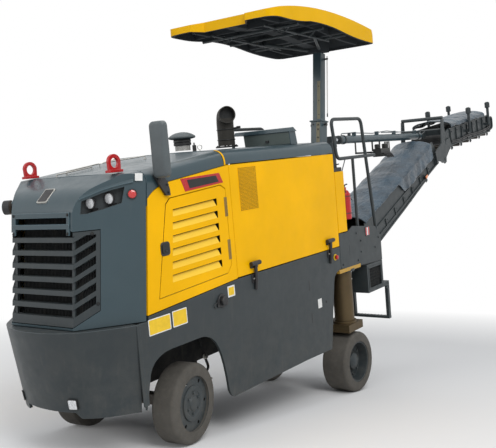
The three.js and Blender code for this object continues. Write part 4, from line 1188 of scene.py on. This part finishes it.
def make_side_panels():
    """Blank badge and plates, vent, latches and seam trim of each side."""
    labels = [LABEL_YELLOW, LABEL_WHITE]
    for name, side in SIDES:
        place = hand(side)
        badge = Shape()
        badge.use(0).prism([(57, 1959), (514, 1969), (555, 1893), (100, 1863)], "x", HALF, HALF + 3)
        badge.use(1).prism([(128, 1945), (470, 1953), (500, 1903), (150, 1882)], "x", HALF + 3, HALF + 4.4)
        piece(f"blank_side_badge_{name}", badge, [RED, BLACK], "chassis", 1, place)
        make_cover_vent(name, place)
        for number, (y, base) in enumerate(((862, 1093), (2097, 1098))):
            make_cover_latch(f"cover_latch_{name}_{number + 1}", place, y, base)
        for letter, span in (("a", (-411, -184, 915, 1029)), ("b", (-163, -5, 917, 1034))):
            blank_plate(f"blank_side_plate_{name}_{letter}", rounded_rect(*span, 6, 3), HALF, labels, place,
                        border=7)
        blank_plate(f"blank_label_{name}", rounded_rect(1826, 1893, 619, 704, 5, 3), HALF,
                    [LABEL_WHITE, LABEL_WHITE], place)
        make_seam_trim(name, place)


def make_left_controls():
    """Stop button, filler cap and labels low on the left side."""
    button = Shape()
    button.use(1).lathe([(0, 0), (31, 0), (31, 3), (0, 3)], (HALF, 2206, 1037), (1, 0, 0), 32)
    button.use(2).lathe([(0, 3), (17, 3), (17, 14), (0, 14)], (HALF, 2206, 1037), (1, 0, 0), 24)
    button.use(0).lathe([(0, 14), (21, 14), (22, 18), (20, 27), (12, 30), (0, 30)], (HALF, 2206, 1037),
                        (1, 0, 0), 32)
    piece("stop_button", button, [RED, LABEL_YELLOW, PLASTIC], "chassis", 0.8)
    cap = Shape()
    cap.use(0).lathe([(0, 0), (52, 0), (54, 6), (50, 14), (0, 14)], (HALF, 410, 992), (1, 0, 0), 40)
    cap.lathe([(0, 14), (38, 14), (40, 20), (38, 36), (32, 40), (0, 40)], (HALF, 410, 992), (1, 0, 0), 6)
    cap.prism(rounded_rect(345, 478, 950, 1012, 12, 3), "x", HALF, HALF + 12)
    cap.tube(rounded_path([(HALF + 8, 360, 992), (HALF + 10, 320, 985), (HALF + 10, 304, 960),
                           (HALF + 8, 330, 948)], 20), 3.5, 8)
    piece("filler_cap", cap, [PLASTIC], "chassis", 2)
    blank_plate("filler_label", rounded_rect(494, 586, 998, 1085, 5, 3), HALF, [LABEL_YELLOW, LABEL_WHITE],
                border=12)
    holes = Shape()
    holes.use(0).lathe([(0, 0), (11, 0), (11, 3), (7, 4), (0, 4)], (HALF, 1980, 652), (1, 0, 0), 20)
    holes.box(HALF, HALF + 1, 1694, 1706, 809, 899)
    holes.box(HALF, HALF + 1, 1700, 1712, 513, 600)
    piece("side_plugs", holes, PLASTIC, "chassis", 0.6)


def make_mirror():
    head = Shape()

    def outline(shrink):
        return rounded_rect(648 + shrink, 782 - shrink, 1984 + shrink, 2371 - shrink, 34 - shrink * 0.4, 6)

    def ring_at(y, shrink):
        return [(a, y, b) for a, b in outline(shrink)]

    head.use(0).rings([ring_at(-239, 24), ring_at(-237, 12), ring_at(-229, 3), ring_at(-218, 0),
                       ring_at(-190, 0),
                       ring_at(-184, 4), ring_at(-184, 12), ring_at(-190, 14)])
    head.use(1).rings([ring_at(-189, 15), ring_at(-186, 15)])
    mirror = piece("mirror_head_left", head, [MIRROR_SHELL, MIRROR_GLASS], "chassis", 0,
                   angle=50)
    arm = Shape()
    arm.use(0).prism([(-128, 1856), (-84, 1852), (-88, 1905), (-140, 2010), (-234, 2010), (-200, 1950)], "x",
                     646, 664)
    arm.prism([(-128, 1856), (-84, 1852), (-80, 1960), (-150, 1960)], "x", HALF, HALF + 6)
    arm.rod((656, -190, 1960), (715, -205, 2040), 15, 14)
    for y, z in ((-104, 1875), (-110, 1930)):
        arm.bolt((664, y, z), (1, 0, 0), 16, 9)
    piece("mirror_arm_left", arm, [PLASTIC], "chassis", 2)
    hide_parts("mirror_left")


def make_side_lamp():
    """Lens and bezel on the round lamp of the right side."""
    face, axis = (-758.6, -421.8, 1838), (-0.894, -0.447, 0)
    lens = Shape()
    lens.use(0).lathe([(0, 0), (46, 0), (45, 2), (26, 3), (0, 3.2)], face, axis, 40)
    lens.use(1).lathe([(45.5, 0), (51, 0), (50, 2), (46.5, 2), (45.5, 0)], face, axis, 40)
    lens.bolt((-725, -330, 1806), (0, 0, 1), 16, 6)
    piece("side_lamp_lens", lens, [LENS, PLASTIC], "chassis", 0)


def make_seam_strips():
    """Closing strips between the front skirt and the side plates, and near-black walls in the wheel arches:
    painted shade, which stands in for the dark inside of the arches.
    """
    for name, side in SIDES:
        place = hand(side)
        strip = Shape().prism([(-520, 452), (-470, 452), (-470, 1016), (-520, 1016)], "x", HALF - 12,
                              HALF - 1)
        piece(f"skirt_joint_{name}", strip, SLATE_SET, "chassis", 1, place, edge=1)
        # Near-black walls inside the arch: painted shade for the shaded wheel house.
        lining = Shape()
        lining.box(196, 204, -420, 560, 420, 900)
        lining.box(300, HALF - 34, -470, -462, 470, 900)
        piece(f"arch_painted_shade_{name}", lining, DARK, "chassis", 0, place)
        fitting = Shape()
        fitting.use(0).tube(smooth_path([(240, 540, 700), (280, 552, 560), (300, 556, 470), (330, 540, 390),
                                         (330, 420, 350)]), 11, 10)
        fitting.use(1).lathe([(0, 0), (24, 0), (24, 12), (16, 14), (14, 34), (0, 36)], (300, 550, 487),
                             (1, -0.4, 0), 6)
        fitting.lathe([(0, 0), (9, 0), (9, 10), (4, 16), (0, 18)], (330, 569, 300), (1, -0.4, 0), 8)
        piece(f"arch_hose_{name}", fitting, [HOSE, ZINC], "chassis", 0, place)


def roof_slots(mesh):
    """Paints the roof's outside with the first material and its lining and ribs with the second."""
    to_body = BODY.inverted()
    for polygon in mesh.polygons:
        x, y, _ = to_body @ polygon.center
        normal = polygon.normal
        outward = normal.x * x + normal.y * (y - 2450) * 0.3 > 0
        rim = abs(x) > 605 or y < 1625 or y > 3400 or (abs(x) > 500 and y > 3360)
        recess = abs(x) < 330 and y < 1625
        outside = normal.z > 0.2 or (outward and rim) or recess
        polygon.material_index = 0 if outside and normal.z > -0.6 else 1


def make_canopy():
    mesh = clean_copy("canopy")
    roof = link("canopy_roof", mesh, [ROOF_YELLOW, ROOF_UNDER])
    roof_slots(roof.data)
    smooth_shade(roof.data, 40)
    soften(roof, 9, 3, 34)
    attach(roof, body_of("canopy"))
    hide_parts("canopy")
    trim = Shape()
    for x in (-330, 330):
        for y in (2080, 2560):
            arc = [(x - 60 + 12 * k, y, 3238 - 34 * math.sin(math.pi * k / 10)) for k in range(11)]
            trim.tube(arc, 7, 10)
    for y in (1985, 2440, 2900):
        trim.rod((-560, y, 3232 - 0.06 * max(0, y - 2400)), (560, y, 3232 - 0.06 * max(0, y - 2400)), 14, 12)
    for x in (-300, 300):
        trim.rod((x, 1800, 3246), (x, 3000, 3186), 11, 12)
    trim.rod((-70, 3190, 3150), (-300, 2700, 3215), 15, 12)
    trim.rod((70, 3190, 3150), (300, 2700, 3215), 15, 12)
    piece("canopy_bracing", trim, SLATE_SET, body_of("canopy"), 0)


MAST = BODY @ Matrix.Translation((0, 3161, 2162)) @ Matrix.Rotation(-PITCH, 4, "X")


def make_mast():
    strip = Shape()
    strip.use(0).prism([(6, 236), (46, 236), (46, 650), (6, 650)], "y", -50.7, -50)
    strip.use(1)
    for k in range(3):
        strip.lathe([(0, 0), (7, 0), (7, 0.15), (0, 0.15)], (28, -50.7, 282 + 155 * k), (0, -1, 0), 16)
    piece("mast_scale_strip", strip, [STRIP, PLASTIC], body_of("mast_post"), 0, MAST)
    lower = Shape()
    lower.use(0).prism([(6, -60), (46, -60), (46, 196), (6, 196)], "y", -67, -65)
    lower.use(1)
    for x, z in ((-32, 176), (28, 168), (28, 120), (28, 30)):
        lower.lathe([(0, 0), (10, 0), (10, 6), (6, 9), (0, 9)], (x, -66, z), (0, -1, 0), 6)
    for x in (-1, 1):
        lower.rod((x * 65, 0, 176), (x * 92, 0, 176), 11, 14)
        lower.rod((x * 90, 0, 176), (x * 98, 0, 176), 20, 6)
    piece("mast_clamp", lower, [STRIP, PLASTIC], "chassis", 0.8, MAST)
    stay = Shape()
    stay.use(0).tube([(84, 30, 930), (86, 30, 600), (86, 34, 300)], 5, 8)
    stay.use(1).rod((86, 34, 300), (86, 34, 262), 7, 10)
    stay.box(50, 92, 22, 40, 892, 908)
    piece("mast_stay", stay, [ZINC, PLASTIC], body_of("mast_post"), 0, MAST)


def make_exhaust():
    """The stack: a bent pipe, open for the last 60 mm, on a bolted flange. A near-black disc closes the bore
    there: soot, and painted shade for the pipe's dark inside.
    """
    outer, inner, deep = 78, 70, 60
    path = rounded_path([(0, STACK_Y, 2184), (0, STACK_Y, 2452), (92, 1412, 2459)], 100, 10)
    axis = (path[-1] - path[-2]).normalized()
    floor = path[-1] - axis * deep
    pipe = Shape()
    pipe.tube([p for p in path if (floor - p).dot(axis) > 2] + [floor], outer, 40)
    pipe.lathe([(inner, 0), (outer, 0), (outer, deep), (inner, deep), (inner, 0)], floor, axis, 40)
    # Near-black disc across the bore: soot, and painted shade for the dark inside of the pipe.
    pipe.use(1).lathe([(0, 0.5), (inner - 0.5, 0.5), (inner - 0.5, 2), (0, 2)], floor, axis, 40)
    stack = piece("exhaust_stack", pipe, [EXHAUST, DARK], "chassis", 0, angle=40)
    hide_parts("exhaust")
    shape = Shape()
    shape.lathe([(78, 0), (103, 0), (103, 14), (78, 14), (78, 0)], (0, STACK_Y, 2166), (0, 0, 1), 40)
    for k in range(6):
        a = math.pi * k / 3 + 0.3
        shape.bolt((91 * math.cos(a), STACK_Y + 91 * math.sin(a), 2180), (0, 0, 1), 14, 8)
    for z in (2236, 2330):
        shape.ring((0, STACK_Y, z), (0, 0, 1), 79.5, 5, 40, 8)
    shape.rod((70, 1520, 2334), (110, 1540, 2340), 9, 10)
    shape.box(96, 128, 1530, 1552, 2330, 2352)
    piece("exhaust_fittings", shape, [BLACK], "chassis", 0.8)


def make_air_box():
    """Pressed panel on the front of the raised box behind the stack, and its latch. The panel's lighter grey
    is painted light, so that the face looks lit though the lid above shades it.
    """
    panel = Shape()
    panel.use(0).rings([[(x, 1701, 2152), (x, 1688.8, 2254), (x, 1686.5, 2254), (x, 1698.5, 2152)]
                        for x in (56, 554)])
    panel.use(1).prism([(1684, 2176), (1696, 2176), (1694, 2196), (1682, 2196)], "x", 296, 330)
    piece("air_box_painted_light_panel", panel, [AIR_BOX_PAINTED_LIGHT, PLASTIC], "chassis", 0.6)


def make_precleaner():
    at, axis = (0, CLEANER_Y, 2166), (0, 0, 1)
    shape = Shape()
    shape.use(2).lathe([(0, 0), (68, 0), (66, 6), (66, 44), (0, 44)], at, axis, 40)
    shape.use(0).lathe([(0, 44), (73, 44), (75, 50), (75, 66), (70, 70), (75, 74), (75, 90), (70, 96),
                        (0, 96)], at, axis, 40)
    shape.use(1).lathe([(0, 96), (78, 96), (112, 104), (116, 110), (115, 119), (104, 128), (82, 141),
                        (52, 152), (20, 157),
                        (0, 158)], at, axis, 56)
    shape.use(0)
    for k in range(20):
        a = 2 * math.pi * k / 20
        shape.rod((66 * math.cos(a), CLEANER_Y + 66 * math.sin(a), 2262),
                  (104 * math.cos(a + 0.25), CLEANER_Y + 104 * math.sin(a + 0.25), 2270), 3, 6)
    cleaner = piece("precleaner_cap", shape, [PLASTIC, MIRROR_SHELL, BOWL], "chassis", 0.8,
                    angle=40)
    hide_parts("precleaner")
    extras = Shape()
    extras.use(0).prism(rounded_rect(866, 894, 2146, 2206, 6, 3), "x", 108, 128)
    extras.rod((118, 880, 2190), (118, 880, 2226), 6, 10)
    extras.use(1).ring((150, 912, 2184), (0.8, -0.6, 0), 19, 3, 24, 8)
    extras.rod((150, 912, 2146), (150, 912, 2166), 4, 8)
    piece("hood_latch_ring", extras, [PLASTIC, ZINC], "chassis", 0)


def make_guard_rails():
    """Bent tube rails on each side of the platform: a loop on two legs, and a post under it."""
    foot, low, high = DECK_Z + 4, 1967, 2353
    for name, side in SIDES:
        rail = Shape()
        loop = [(606, 3180, foot), (606, 2990, high), (606, 2372, high), (606, 2440, low), (606, 3250, low)]
        rail.tube(rounded_path(loop, 70, 10), 17, 20)
        rail.rod((606, 2766, foot), (606, 2760, low), 15, 20)
        made = piece(f"rail_tubes_{name}", rail, SLATE, "chassis", 0, hand(side), angle=50)
        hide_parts(f"guard_rail_{name}")


def make_platform_fittings(name, place):
    """Bolts, worn step edge and reflector on the platform's side."""
    bolts = Shape()
    for y, z in ((2664, 1208), (2750, 1120), (3060, 1008), (2746, 1008), (2671, 932), (2358, 939),
                 (3150, 1100)):
        bolts.bolt((HALF, y, z), (1, 0, 0), 17, 8)
    bolts.box(HALF, HALF + 1, 2500, 2510, 1007, 1114)
    piece(f"platform_bolts_{name}", bolts, SLATE, "chassis", 0.6, place)
    edge = Shape()
    section = ((HALF - 36, 862), (HALF + 3, 862), (HALF + 3, 898), (HALF - 36, 898))
    edge.rings([[(x, y, z + lift) for x, z in section] for y, lift in ((2272, 0), (2704, -4))])
    piece(f"platform_edge_{name}", edge, OCHRE_YELLOW, "chassis", 2, place)
    reflector = Shape()
    reflector.use(1).prism(rounded_rect(2854, 2948, 1148, 1245, 8), "x", HALF, HALF + 4)
    for k, slot in enumerate((0, 2, 0)):
        stripe = rounded_rect(2862 + 27 * k, 2886 + 27 * k, 1156, 1237, 3, 2)
        reflector.use(slot).prism(stripe, "x", HALF + 4, HALF + 6)
    piece(f"rear_reflector_{name}", reflector, [LENS_RED, PLASTIC, LENS], "chassis", 0.6, place)


def make_console(name, place):
    """Small control box beside the rail, and the rail's cable and feet."""
    console = Shape()
    console.use(0).prism(rounded_rect(2312, 2470, 1848, 1886, 10, 3), "x", 560, 632)
    console.use(1)
    for y in (2340, 2376, 2412):
        console.lathe([(0, 0), (11, 0), (10, 10), (8, 18), (0, 20)], (600, y, 1886), (0, 0, 1), 16)
    console.tube(rounded_path([(585, 2440, 1884), (585, 2440, 1912), (620, 2450, 1918)], 12), 6, 8)
    piece(f"side_console_{name}", console, [BLACK, PLASTIC], "chassis", 1.5, place)
    brace = Shape()
    run = [(606, 2606, 1960), (600, 2520, 1820), (604, 2480, 1740), (606, 2560, 1640), (606, 2690, 1540)]
    brace.tube(smooth_path(run), 5, 8)
    for y in (3180, 2766):
        brace.lathe([(0, 0), (34, 0), (34, 7), (0, 7)], (606, y, DECK_Z + 5), (0, 0, 1), 20)
    piece(f"rail_brace_{name}", brace, SLATE_SET, "chassis", 0, place)


def make_extinguisher_fittings():
    x, y = EXTINGUISHER
    handle = Shape()
    handle.tube(rounded_path([(x, y, 1664), (x, y + 10, 1700), (x, y + 60, 1704)], 16), 7, 10)
    hose = [(x, y, 1660), (x + 10, y - 50, 1640), (x + 20, y - 62, 1560), (x + 18, y - 60, 1450)]
    handle.tube(smooth_path(hose), 9, 10)
    for z in (1420, 1590):
        handle.ring((x, y, z), (0, 0, 1), 57.5, 4, 32, 6)
        handle.box(x - 12, x + 12, 2494, y - 54, z - 8, z + 8)
    handle.box(500, 620, 2487, 2494, 1380, 1640)
    piece("extinguisher_fittings", handle, [PLASTIC], "chassis", 0)


def make_rear_box_details():
    """Wire mesh and its frame on the left of the rear box, with a near-black sheet behind the wires as
    painted shade for the box's inside, and the grip studs of the step.
    """
    wires = 24
    y0, y1, z0, z1 = 2885, 3160, 600, 806
    mesh = Shape()
    for k in range(wires):
        y = y0 + (y1 - y0) * (k + 0.5) / wires
        mesh.rod((628, y - 18, z0), (628, y + 18, z1), 1.6, 5)
        mesh.rod((625, y + 18, z0), (625, y - 18, z1), 1.6, 5)
    # Near-black sheet behind the wires: painted shade for the inside of the box.
    mesh.box(600, 606, y0, y1, z0, z1)
    piece("rear_box_mesh", mesh, DARK, "chassis", 0)
    rim = Shape()
    for span in ((y0 - 14, y1 + 14, z0 - 14, z0), (y0 - 14, y1 + 14, z1, z1 + 14), (y0 - 14, y0, z0, z1),
                 (y1, y1 + 14, z0, z1)):
        rim.box(HALF, HALF + 4, *span)
    rim.bolt((HALF - 4, 3266, 545), (1, 0, 0), 22, 12)
    for z in (575, 540):
        rim.bolt((636, 3318, z), (1, 0, 0), 16, 8)
    piece("rear_box_frame", rim, SLATE_SET, "chassis", 1, edge=1)
    step = Shape()
    for k in range(11):
        for y in (3302, 3318, 3334):
            step.lathe([(0, 0), (6, 0), (4, 4), (0, 4.5)], (205 + 40 * k, y, 212), (0, 0, 1), 8)
    piece("step_grip", step, [SLATE_EDGE], "chassis", 0)


def make_platform():
    """The small things around the operator's platform."""
    for name, side in SIDES:
        make_platform_fittings(name, hand(side))
        make_console(name, hand(side))
    make_extinguisher_fittings()
    make_rear_box_details()


# ---------------------------------------------------------------- conveyor
def hem_height(s, low, shoulder, tucked):
    """How low a cover's sides hang at s: they are tucked in at the top as far as tucked, then drop."""
    t = min(1.0, max(0.0, (s - tucked) / 190))
    return shoulder - 10 + (low - shoulder + 10) * t * t * (3 - 2 * t)


def cover_rows(half, low, shoulder, crown, s0, s1, count, tucked, seed):
    """A cover's points: it sags between its hoops, and its sides hang in folds with a wavy hem."""
    across, along, top_share = 56, 120, 0.52
    rows = []
    for i in range(along + 1):
        t = i / along
        s = s0 + (s1 - s0) * t
        between = math.sin(math.pi * ((t * count) % 1.0)) ** 2
        row = []
        for k in range(across + 1):
            u = 2 * k / across - 1
            side = 1 if u > 0 else -1
            reach = abs(u)
            if reach > top_share:
                drop = (reach - top_share) / (1 - top_share)
                wave = noise.noise(Vector((s * 0.004, side * 3.1, seed)))
                hem = hem_height(s, low, shoulder, tucked) + 10 * wave + 9 * between
                z = shoulder + (hem - shoulder) * drop
                sway = noise.noise(Vector((s * 0.003, side * 1.7, seed)))
                fold = math.sin(s * 0.031 + 2.2 * sway) * 7 * drop ** 0.7
                crease = 6 * noise.noise(Vector((s * 0.012 + z * 0.008, side * 2.0, seed + 4)))
                x = side * (half - 1 + fold * 0.8 + crease * drop)
            else:
                a = reach / top_share
                x = side * half * math.sin(a * math.pi / 2)
                z = shoulder + (crown - shoulder) * math.cos(a * math.pi / 2) - 16 * between * (1 - 0.4 * a)
                z -= 5 + 5 * noise.noise(Vector((x * 0.012 + s * 0.004, s * 0.010, seed + 9)))
            row.append(Vector((x, s, z)))
        rows.append(row)
    return rows


def cloth_cover(name, node, place, rows):
    """A tarpaulin laid over its hoops."""
    bm = bmesh.new()
    grid = [[bm.verts.new(p) for p in row] for row in rows]
    for a, b in zip(grid, grid[1:]):
        for k in range(len(a) - 1):
            bm.faces.new((a[k], a[k + 1], b[k + 1], b[k]))
    bmesh.ops.recalc_face_normals(bm, faces=bm.faces)
    mesh = bpy.data.meshes.new(name)
    bm.to_mesh(mesh)
    bm.free()
    mesh.transform(place)
    obj = link(name, mesh, [TARPAULIN])
    for polygon in obj.data.polygons:
        polygon.use_smooth = True
    solidify = obj.modifiers.new("thickness", "SOLIDIFY")
    solidify.thickness = 0.003
    solidify.offset = 0
    settle(obj)
    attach(obj, body_of(node))
    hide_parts(node)


def tarp_hoops(name, node, place, half, low, shoulder, crown, s0, s1, count, tucked):
    shape = Shape()
    bar, top = half - 12, shoulder - 6
    for i in range(count + 1):
        s = s0 + 12 + (s1 - s0 - 24) * i / count
        foot = min(hem_height(s, low, shoulder, tucked) + 26, shoulder - 12)
        path = [(-bar, s, foot), (-bar, s, top)]
        path += [(-bar * math.cos(math.pi * k / 14), s,
                  top + (crown - shoulder - 8) * math.sin(math.pi * k / 14))
                 for k in range(1, 14)]
        path += [(bar, s, top), (bar, s, foot)]
        shape.tube(path, 7, 8)
    piece(f"{name}_hoops", shape, SLATE, body_of(node), 0, place)


COVERS = (
    ("boom", BOOM, 1.0, {"half": 276, "low": 60, "shoulder": 240, "crown": 330, "s0": 200, "s1": 2400,
                         "count": 6, "tucked": 1190}),
    ("head", HEAD, 7.0, {"half": 292, "low": 400, "shoulder": 430, "crown": 510, "s0": 350, "s1": 1800,
                         "count": 4, "tucked": 0}),
)


def make_tarps():
    for section, place, seed, size in COVERS:
        tarp_hoops(f"{section}_cover", f"{section}_tarp", place, **size)
        cloth_cover(f"{section}_cover", f"{section}_tarp", place, cover_rows(**size, seed=seed))


def idler(shape, s, t, half, radius, drop):
    """A return roller under a section, hung from two plates."""
    shape.use(1).lathe([(0, -half + 34), (radius - 6, -half + 34), (radius, -half + 42), (radius, half - 42),
                        (radius - 6, half - 34), (0, half - 34)], (0, s, t - drop), (1, 0, 0), 24)
    shape.use(0)
    for x in (-1, 1):
        shape.side_prism([(s - 34, t + 4), (s + 34, t + 4), (s + 22, t - drop - 26), (s - 22, t - drop - 26)],
                         x, half - 12, half - 4)
        shape.bolt((x * (half - 4), s, t - drop), (x, 0, 0), 22, 12)


def make_boom():
    refined("boom_frame", SLATE_SET, 3, angle=40)
    fittings = Shape()
    for s in (330, 900, 1500, 2080):
        idler(fittings, s, -85, 256, 26, 30)
    for x in (-1, 1):
        fittings.side_prism([(-30, -78), (2540, -78), (2540, -60), (-30, -60)], x, 252, 268)
        fittings.side_prism([(300, 40), (1950, 40), (1950, 54), (300, 54)], x, 252, 268)
        for k in range(9):
            s = 120 + 290 * k
            fittings.side_prism([(s, -60), (s + 12, -60), (s + 12, 40), (s, 40)], x, 252, 268)
            fittings.bolt((x * 252, s + 60, -10), (x, 0, 0), 17, 9)
    piece("boom_fittings", fittings, [SLATE, CAST], body_of("boom_frame"), 1.2, BOOM)
    plates = Shape()
    for x in (-1, 1):
        plates.side_prism([(200, -150), (1260, -132), (2080, -104), (2080, -60), (1430, -60), (1350, 60),
                           (1250, 232), (200, 232)], x, 252.5, 256)
        plates.side_prism([(200, -150), (1260, -132), (2080, -104), (2080, -84), (1260, -112), (200, -130)],
                          x, 256, 266)
    piece("boom_side_plates", plates, SLATE_SET, body_of("boom_frame"), 1, BOOM, edge=1)
    lamp = Shape()
    lamp.use(1).box(268, 286, 1990, 2070, -66, -20)
    lamp.use(0).prism(rounded_rect(1998, 2062, -60, -26, 6, 3), "x", 286, 294)
    piece("boom_marker", lamp, [LENS_ORANGE, PLASTIC], body_of("boom_frame"), 1, BOOM)
    hoses = Shape()
    for lift in (0, 24, 48):
        hoses.tube(smooth_path([(-262, 60, -20 + lift), (-274, 500, -40 + lift), (-276, 1100, -34 + lift),
                                (-272, 1700, -42 + lift),
                                (-268, 2300, -30 + lift), (-262, 2480, 10 + lift)], 6), 9, 8)
    piece("boom_hoses", hoses, HOSE, body_of("boom_frame"), 0, BOOM)


def make_head():
    refined("head_frame", SLATE_SET, 3, angle=40)
    fittings = Shape()
    for s in (420, 800, 1200, 1600, 1980):
        idler(fittings, s, 136, 256, 26, 34)
    for x in (-1, 1):
        fittings.side_prism([(330, 372), (2060, 380), (2060, 394), (330, 386)], x, 250, 266)
        fittings.side_prism([(330, 140), (2100, 122), (2100, 136), (330, 154)], x, 250, 266)
        for k in range(8):
            s = 380 + 230 * k
            fittings.side_prism([(s, 150), (s + 14, 150), (s + 14, 378), (s, 378)], x, 250, 266)
            fittings.bolt((x * 250, s + 70, 330), (x, 0, 0), 17, 9)
            fittings.bolt((x * 250, s + 70, 190), (x, 0, 0), 17, 9)
        for s in (1030, 1900):
            fittings.lathe([(0, -1), (34, -1), (38, 6), (38, 74), (34, 82), (0, 84)], (x * 315, s, 520),
                           (0, 0, 1), 20)
            fittings.rod((x * 266, s, 270), (x * 315, s, 300), 12, 10)
        loop = [(x * 258, 2080, 330), (x * 262, 2180, 356), (x * 262, 2232, 330), (x * 262, 2232, 190),
                (x * 262, 2180, 162),
                (x * 258, 2060, 150)]
        fittings.tube(rounded_path(loop, 40), 11, 10)
    for s, t in ((2222, 340), (2222, 178)):
        fittings.rod((-262, s, t), (262, s, t), 11, 12)
    piece("head_fittings", fittings, [SLATE, CAST], body_of("head_frame"), 1, HEAD)
    hoses = Shape()
    for lift in (0, 22):
        hoses.tube(smooth_path([(276, 350, 190 + lift), (288, 600, 170 + lift), (284, 1000, 186 + lift),
                                (288, 1500, 172 + lift),
                                (280, 2000, 190 + lift), (262, 2120, 240)], 6), 8, 8)
    hoses.use(1).rod((150, 2090, 255), (262, 2090, 255), 54, 24)
    piece("head_hoses", hoses, [HOSE, BLACK], body_of("head_frame"), 0, HEAD)


def make_lift_details():
    far, eye = Vector((0, 5969, 2125)), Vector((0, 3443, 2160))
    run = (eye - far).normalized()
    up = Vector((0, -run.z, run.y))
    up = up if up.z > 0 else -up

    def at(distance, lift, x=0):
        return far + run * distance + up * lift + Vector((x, 0, 0))

    length = (eye - far).length
    pipes = Shape()
    pipes.use(0).tube(rounded_path([at(90, 46), at(96, 74), at(700, 66), at(1100, 86), at(1500, 62),
                                    at(2050, 76),
                                    at(length - 230, 70), at(length - 226, 40)], 30), 6, 8)
    pipes.tube(rounded_path([at(120, 40, 20), at(126, 70, 22), at(900, 64, 26), at(1300, 66, 26)], 30), 6, 8)
    for d in (240, 900, 1400, 2000):
        pipes.box(-14, 32, (far + run * d).y - 12, (far + run * d).y + 12, (far + run * d).z + 40,
                  (far + run * d).z + 84)
    pipes.use(1)
    for d in (150, length - 262):
        pipes.lathe([(46, -12), (53, -12), (53, 12), (46, 12), (46, -12)], far + run * d, run, 32)
    pipes.lathe([(24, 0), (47, 0), (50, 6), (50, 40), (46, 46), (24, 46), (24, 0)],
                far + run * (length - 190), run, 32)
    pipes.lathe([(0, 0), (20, 0), (20, 30), (0, 30)], at(length - 420, 40), up, 12)
    piece("lift_pipes", pipes, [SLATE_LIGHT, SLATE], body_of("lift_barrel"), 0.6)
    block = Shape()
    block.use(0).box(14, 124, 4420, 4670, 1915, 2015)
    for y in (4444, 4646):
        block.lathe([(0, 0), (34, 0), (36, 8), (36, 46), (28, 54), (0, 56)], (69, y, 2015), (0, 0, 1), 20)
        block.prism([(8, 1990), (-6, 1990), (-6, 2150), (8, 2150)], "y", y - 10, y + 10)
    block.rod((4, 3990, 1985), (4, 4420, 1975), 12, 10)
    block.prism([(-2, 1975), (10, 1975), (10, 2120), (-2, 2120)], "y", 3985, 4005)
    block.use(1)
    for k in range(4):
        block.tube(smooth_path([(124, 4460 + 50 * k, 1955), (160, 4470 + 50 * k, 1945),
                                (150, 4560 + 50 * k, 1900),
                                (60, 4660 + 50 * k, 1950), (20, 4760 + 40 * k, 2090)]), 8, 8)
    piece("valve_block", block, [BLACK, HOSE], body_of("lift_barrel"), 1.5)


def make_legs():
    for name, side in SIDES:
        place = hand(side)
        ring = Shape()
        ring.lathe([(102, 0), (136, 0), (138, 4), (138, 22), (134, 26), (102, 26), (102, 0)],
                   (511.5, 2528, 846), (0, 0, 1), 48)
        for k in range(8):
            a = math.pi * k / 4 + 0.2
            ring.bolt((511.5 + 121 * math.cos(a), 2528 + 121 * math.sin(a), 846), (0, 0, -1), 17, 10)
        piece(f"leg_gland_{name}", ring, SLATE_SET, "chassis", 1, place, edge=1)
        refined(f"rear_leg_{name}", [OCHRE, OCHRE], 2, angle=40)


# ---------------------------------------------------------------- making the machine
for node in ("front_skirt", "platform", "rear_box", "rear_step", "side_plate_left", "side_plate_right",
             "slew_yoke"):
    refined(node, SLATE_SET, 3)
for node in ("hood_top_front", "hood_top_rear", "mast_sleeve", "mast_post"):
    refined(node, LIGHT_SET, 4)
refined("nose_shell", LIGHT_SET, 4, cutters=lamp_pockets())
refined("front_grille", SLATE_SET, 5)
for node in ("side_surround_left", "side_surround_right", "rear_cover_left", "rear_cover_right",
             "rear_bulkhead"):
    refined(node, YELLOW_SET, 4)

# Among these, the inner parts get near-black: their dark paint, and painted shade for the shaded inside of
# the machine.
for node, material in (
    ("main_frame", DARK), ("drum_housing", DARK), ("front_axle", CAST), ("engine_block", DARK),
    ("belly_tank", DARK),
    ("milling_drum", CAST), ("knuckle_left", CAST), ("knuckle_right", CAST),
    ("side_lamp", PLASTIC), ("fire_extinguisher", RED),
    ("boom_belt", BELT), ("head_belt", BELT), ("lift_rod", CHROME), ("swing_rod", CHROME),
    ("lift_barrel", SLATE_LIGHT), ("swing_barrel", SLATE_LIGHT),
):
    repaint(node, material)

make_nose_lamps()
make_nose_frame()
make_radiator()
make_handrails()
make_skirt_fittings()
make_louvre_doors()
make_side_panels()
make_left_controls()
make_mirror()
make_side_lamp()
for node in ("lifting_ring_left", "lifting_ring_right"):
    refined(node, [RED, RED_EDGE], 4, 3)
make_seam_strips()
make_canopy()
make_mast()
make_exhaust()
make_air_box()
make_precleaner()
make_guard_rails()
make_platform()
make_tarps()
make_boom()
make_head()
make_lift_details()
make_legs()
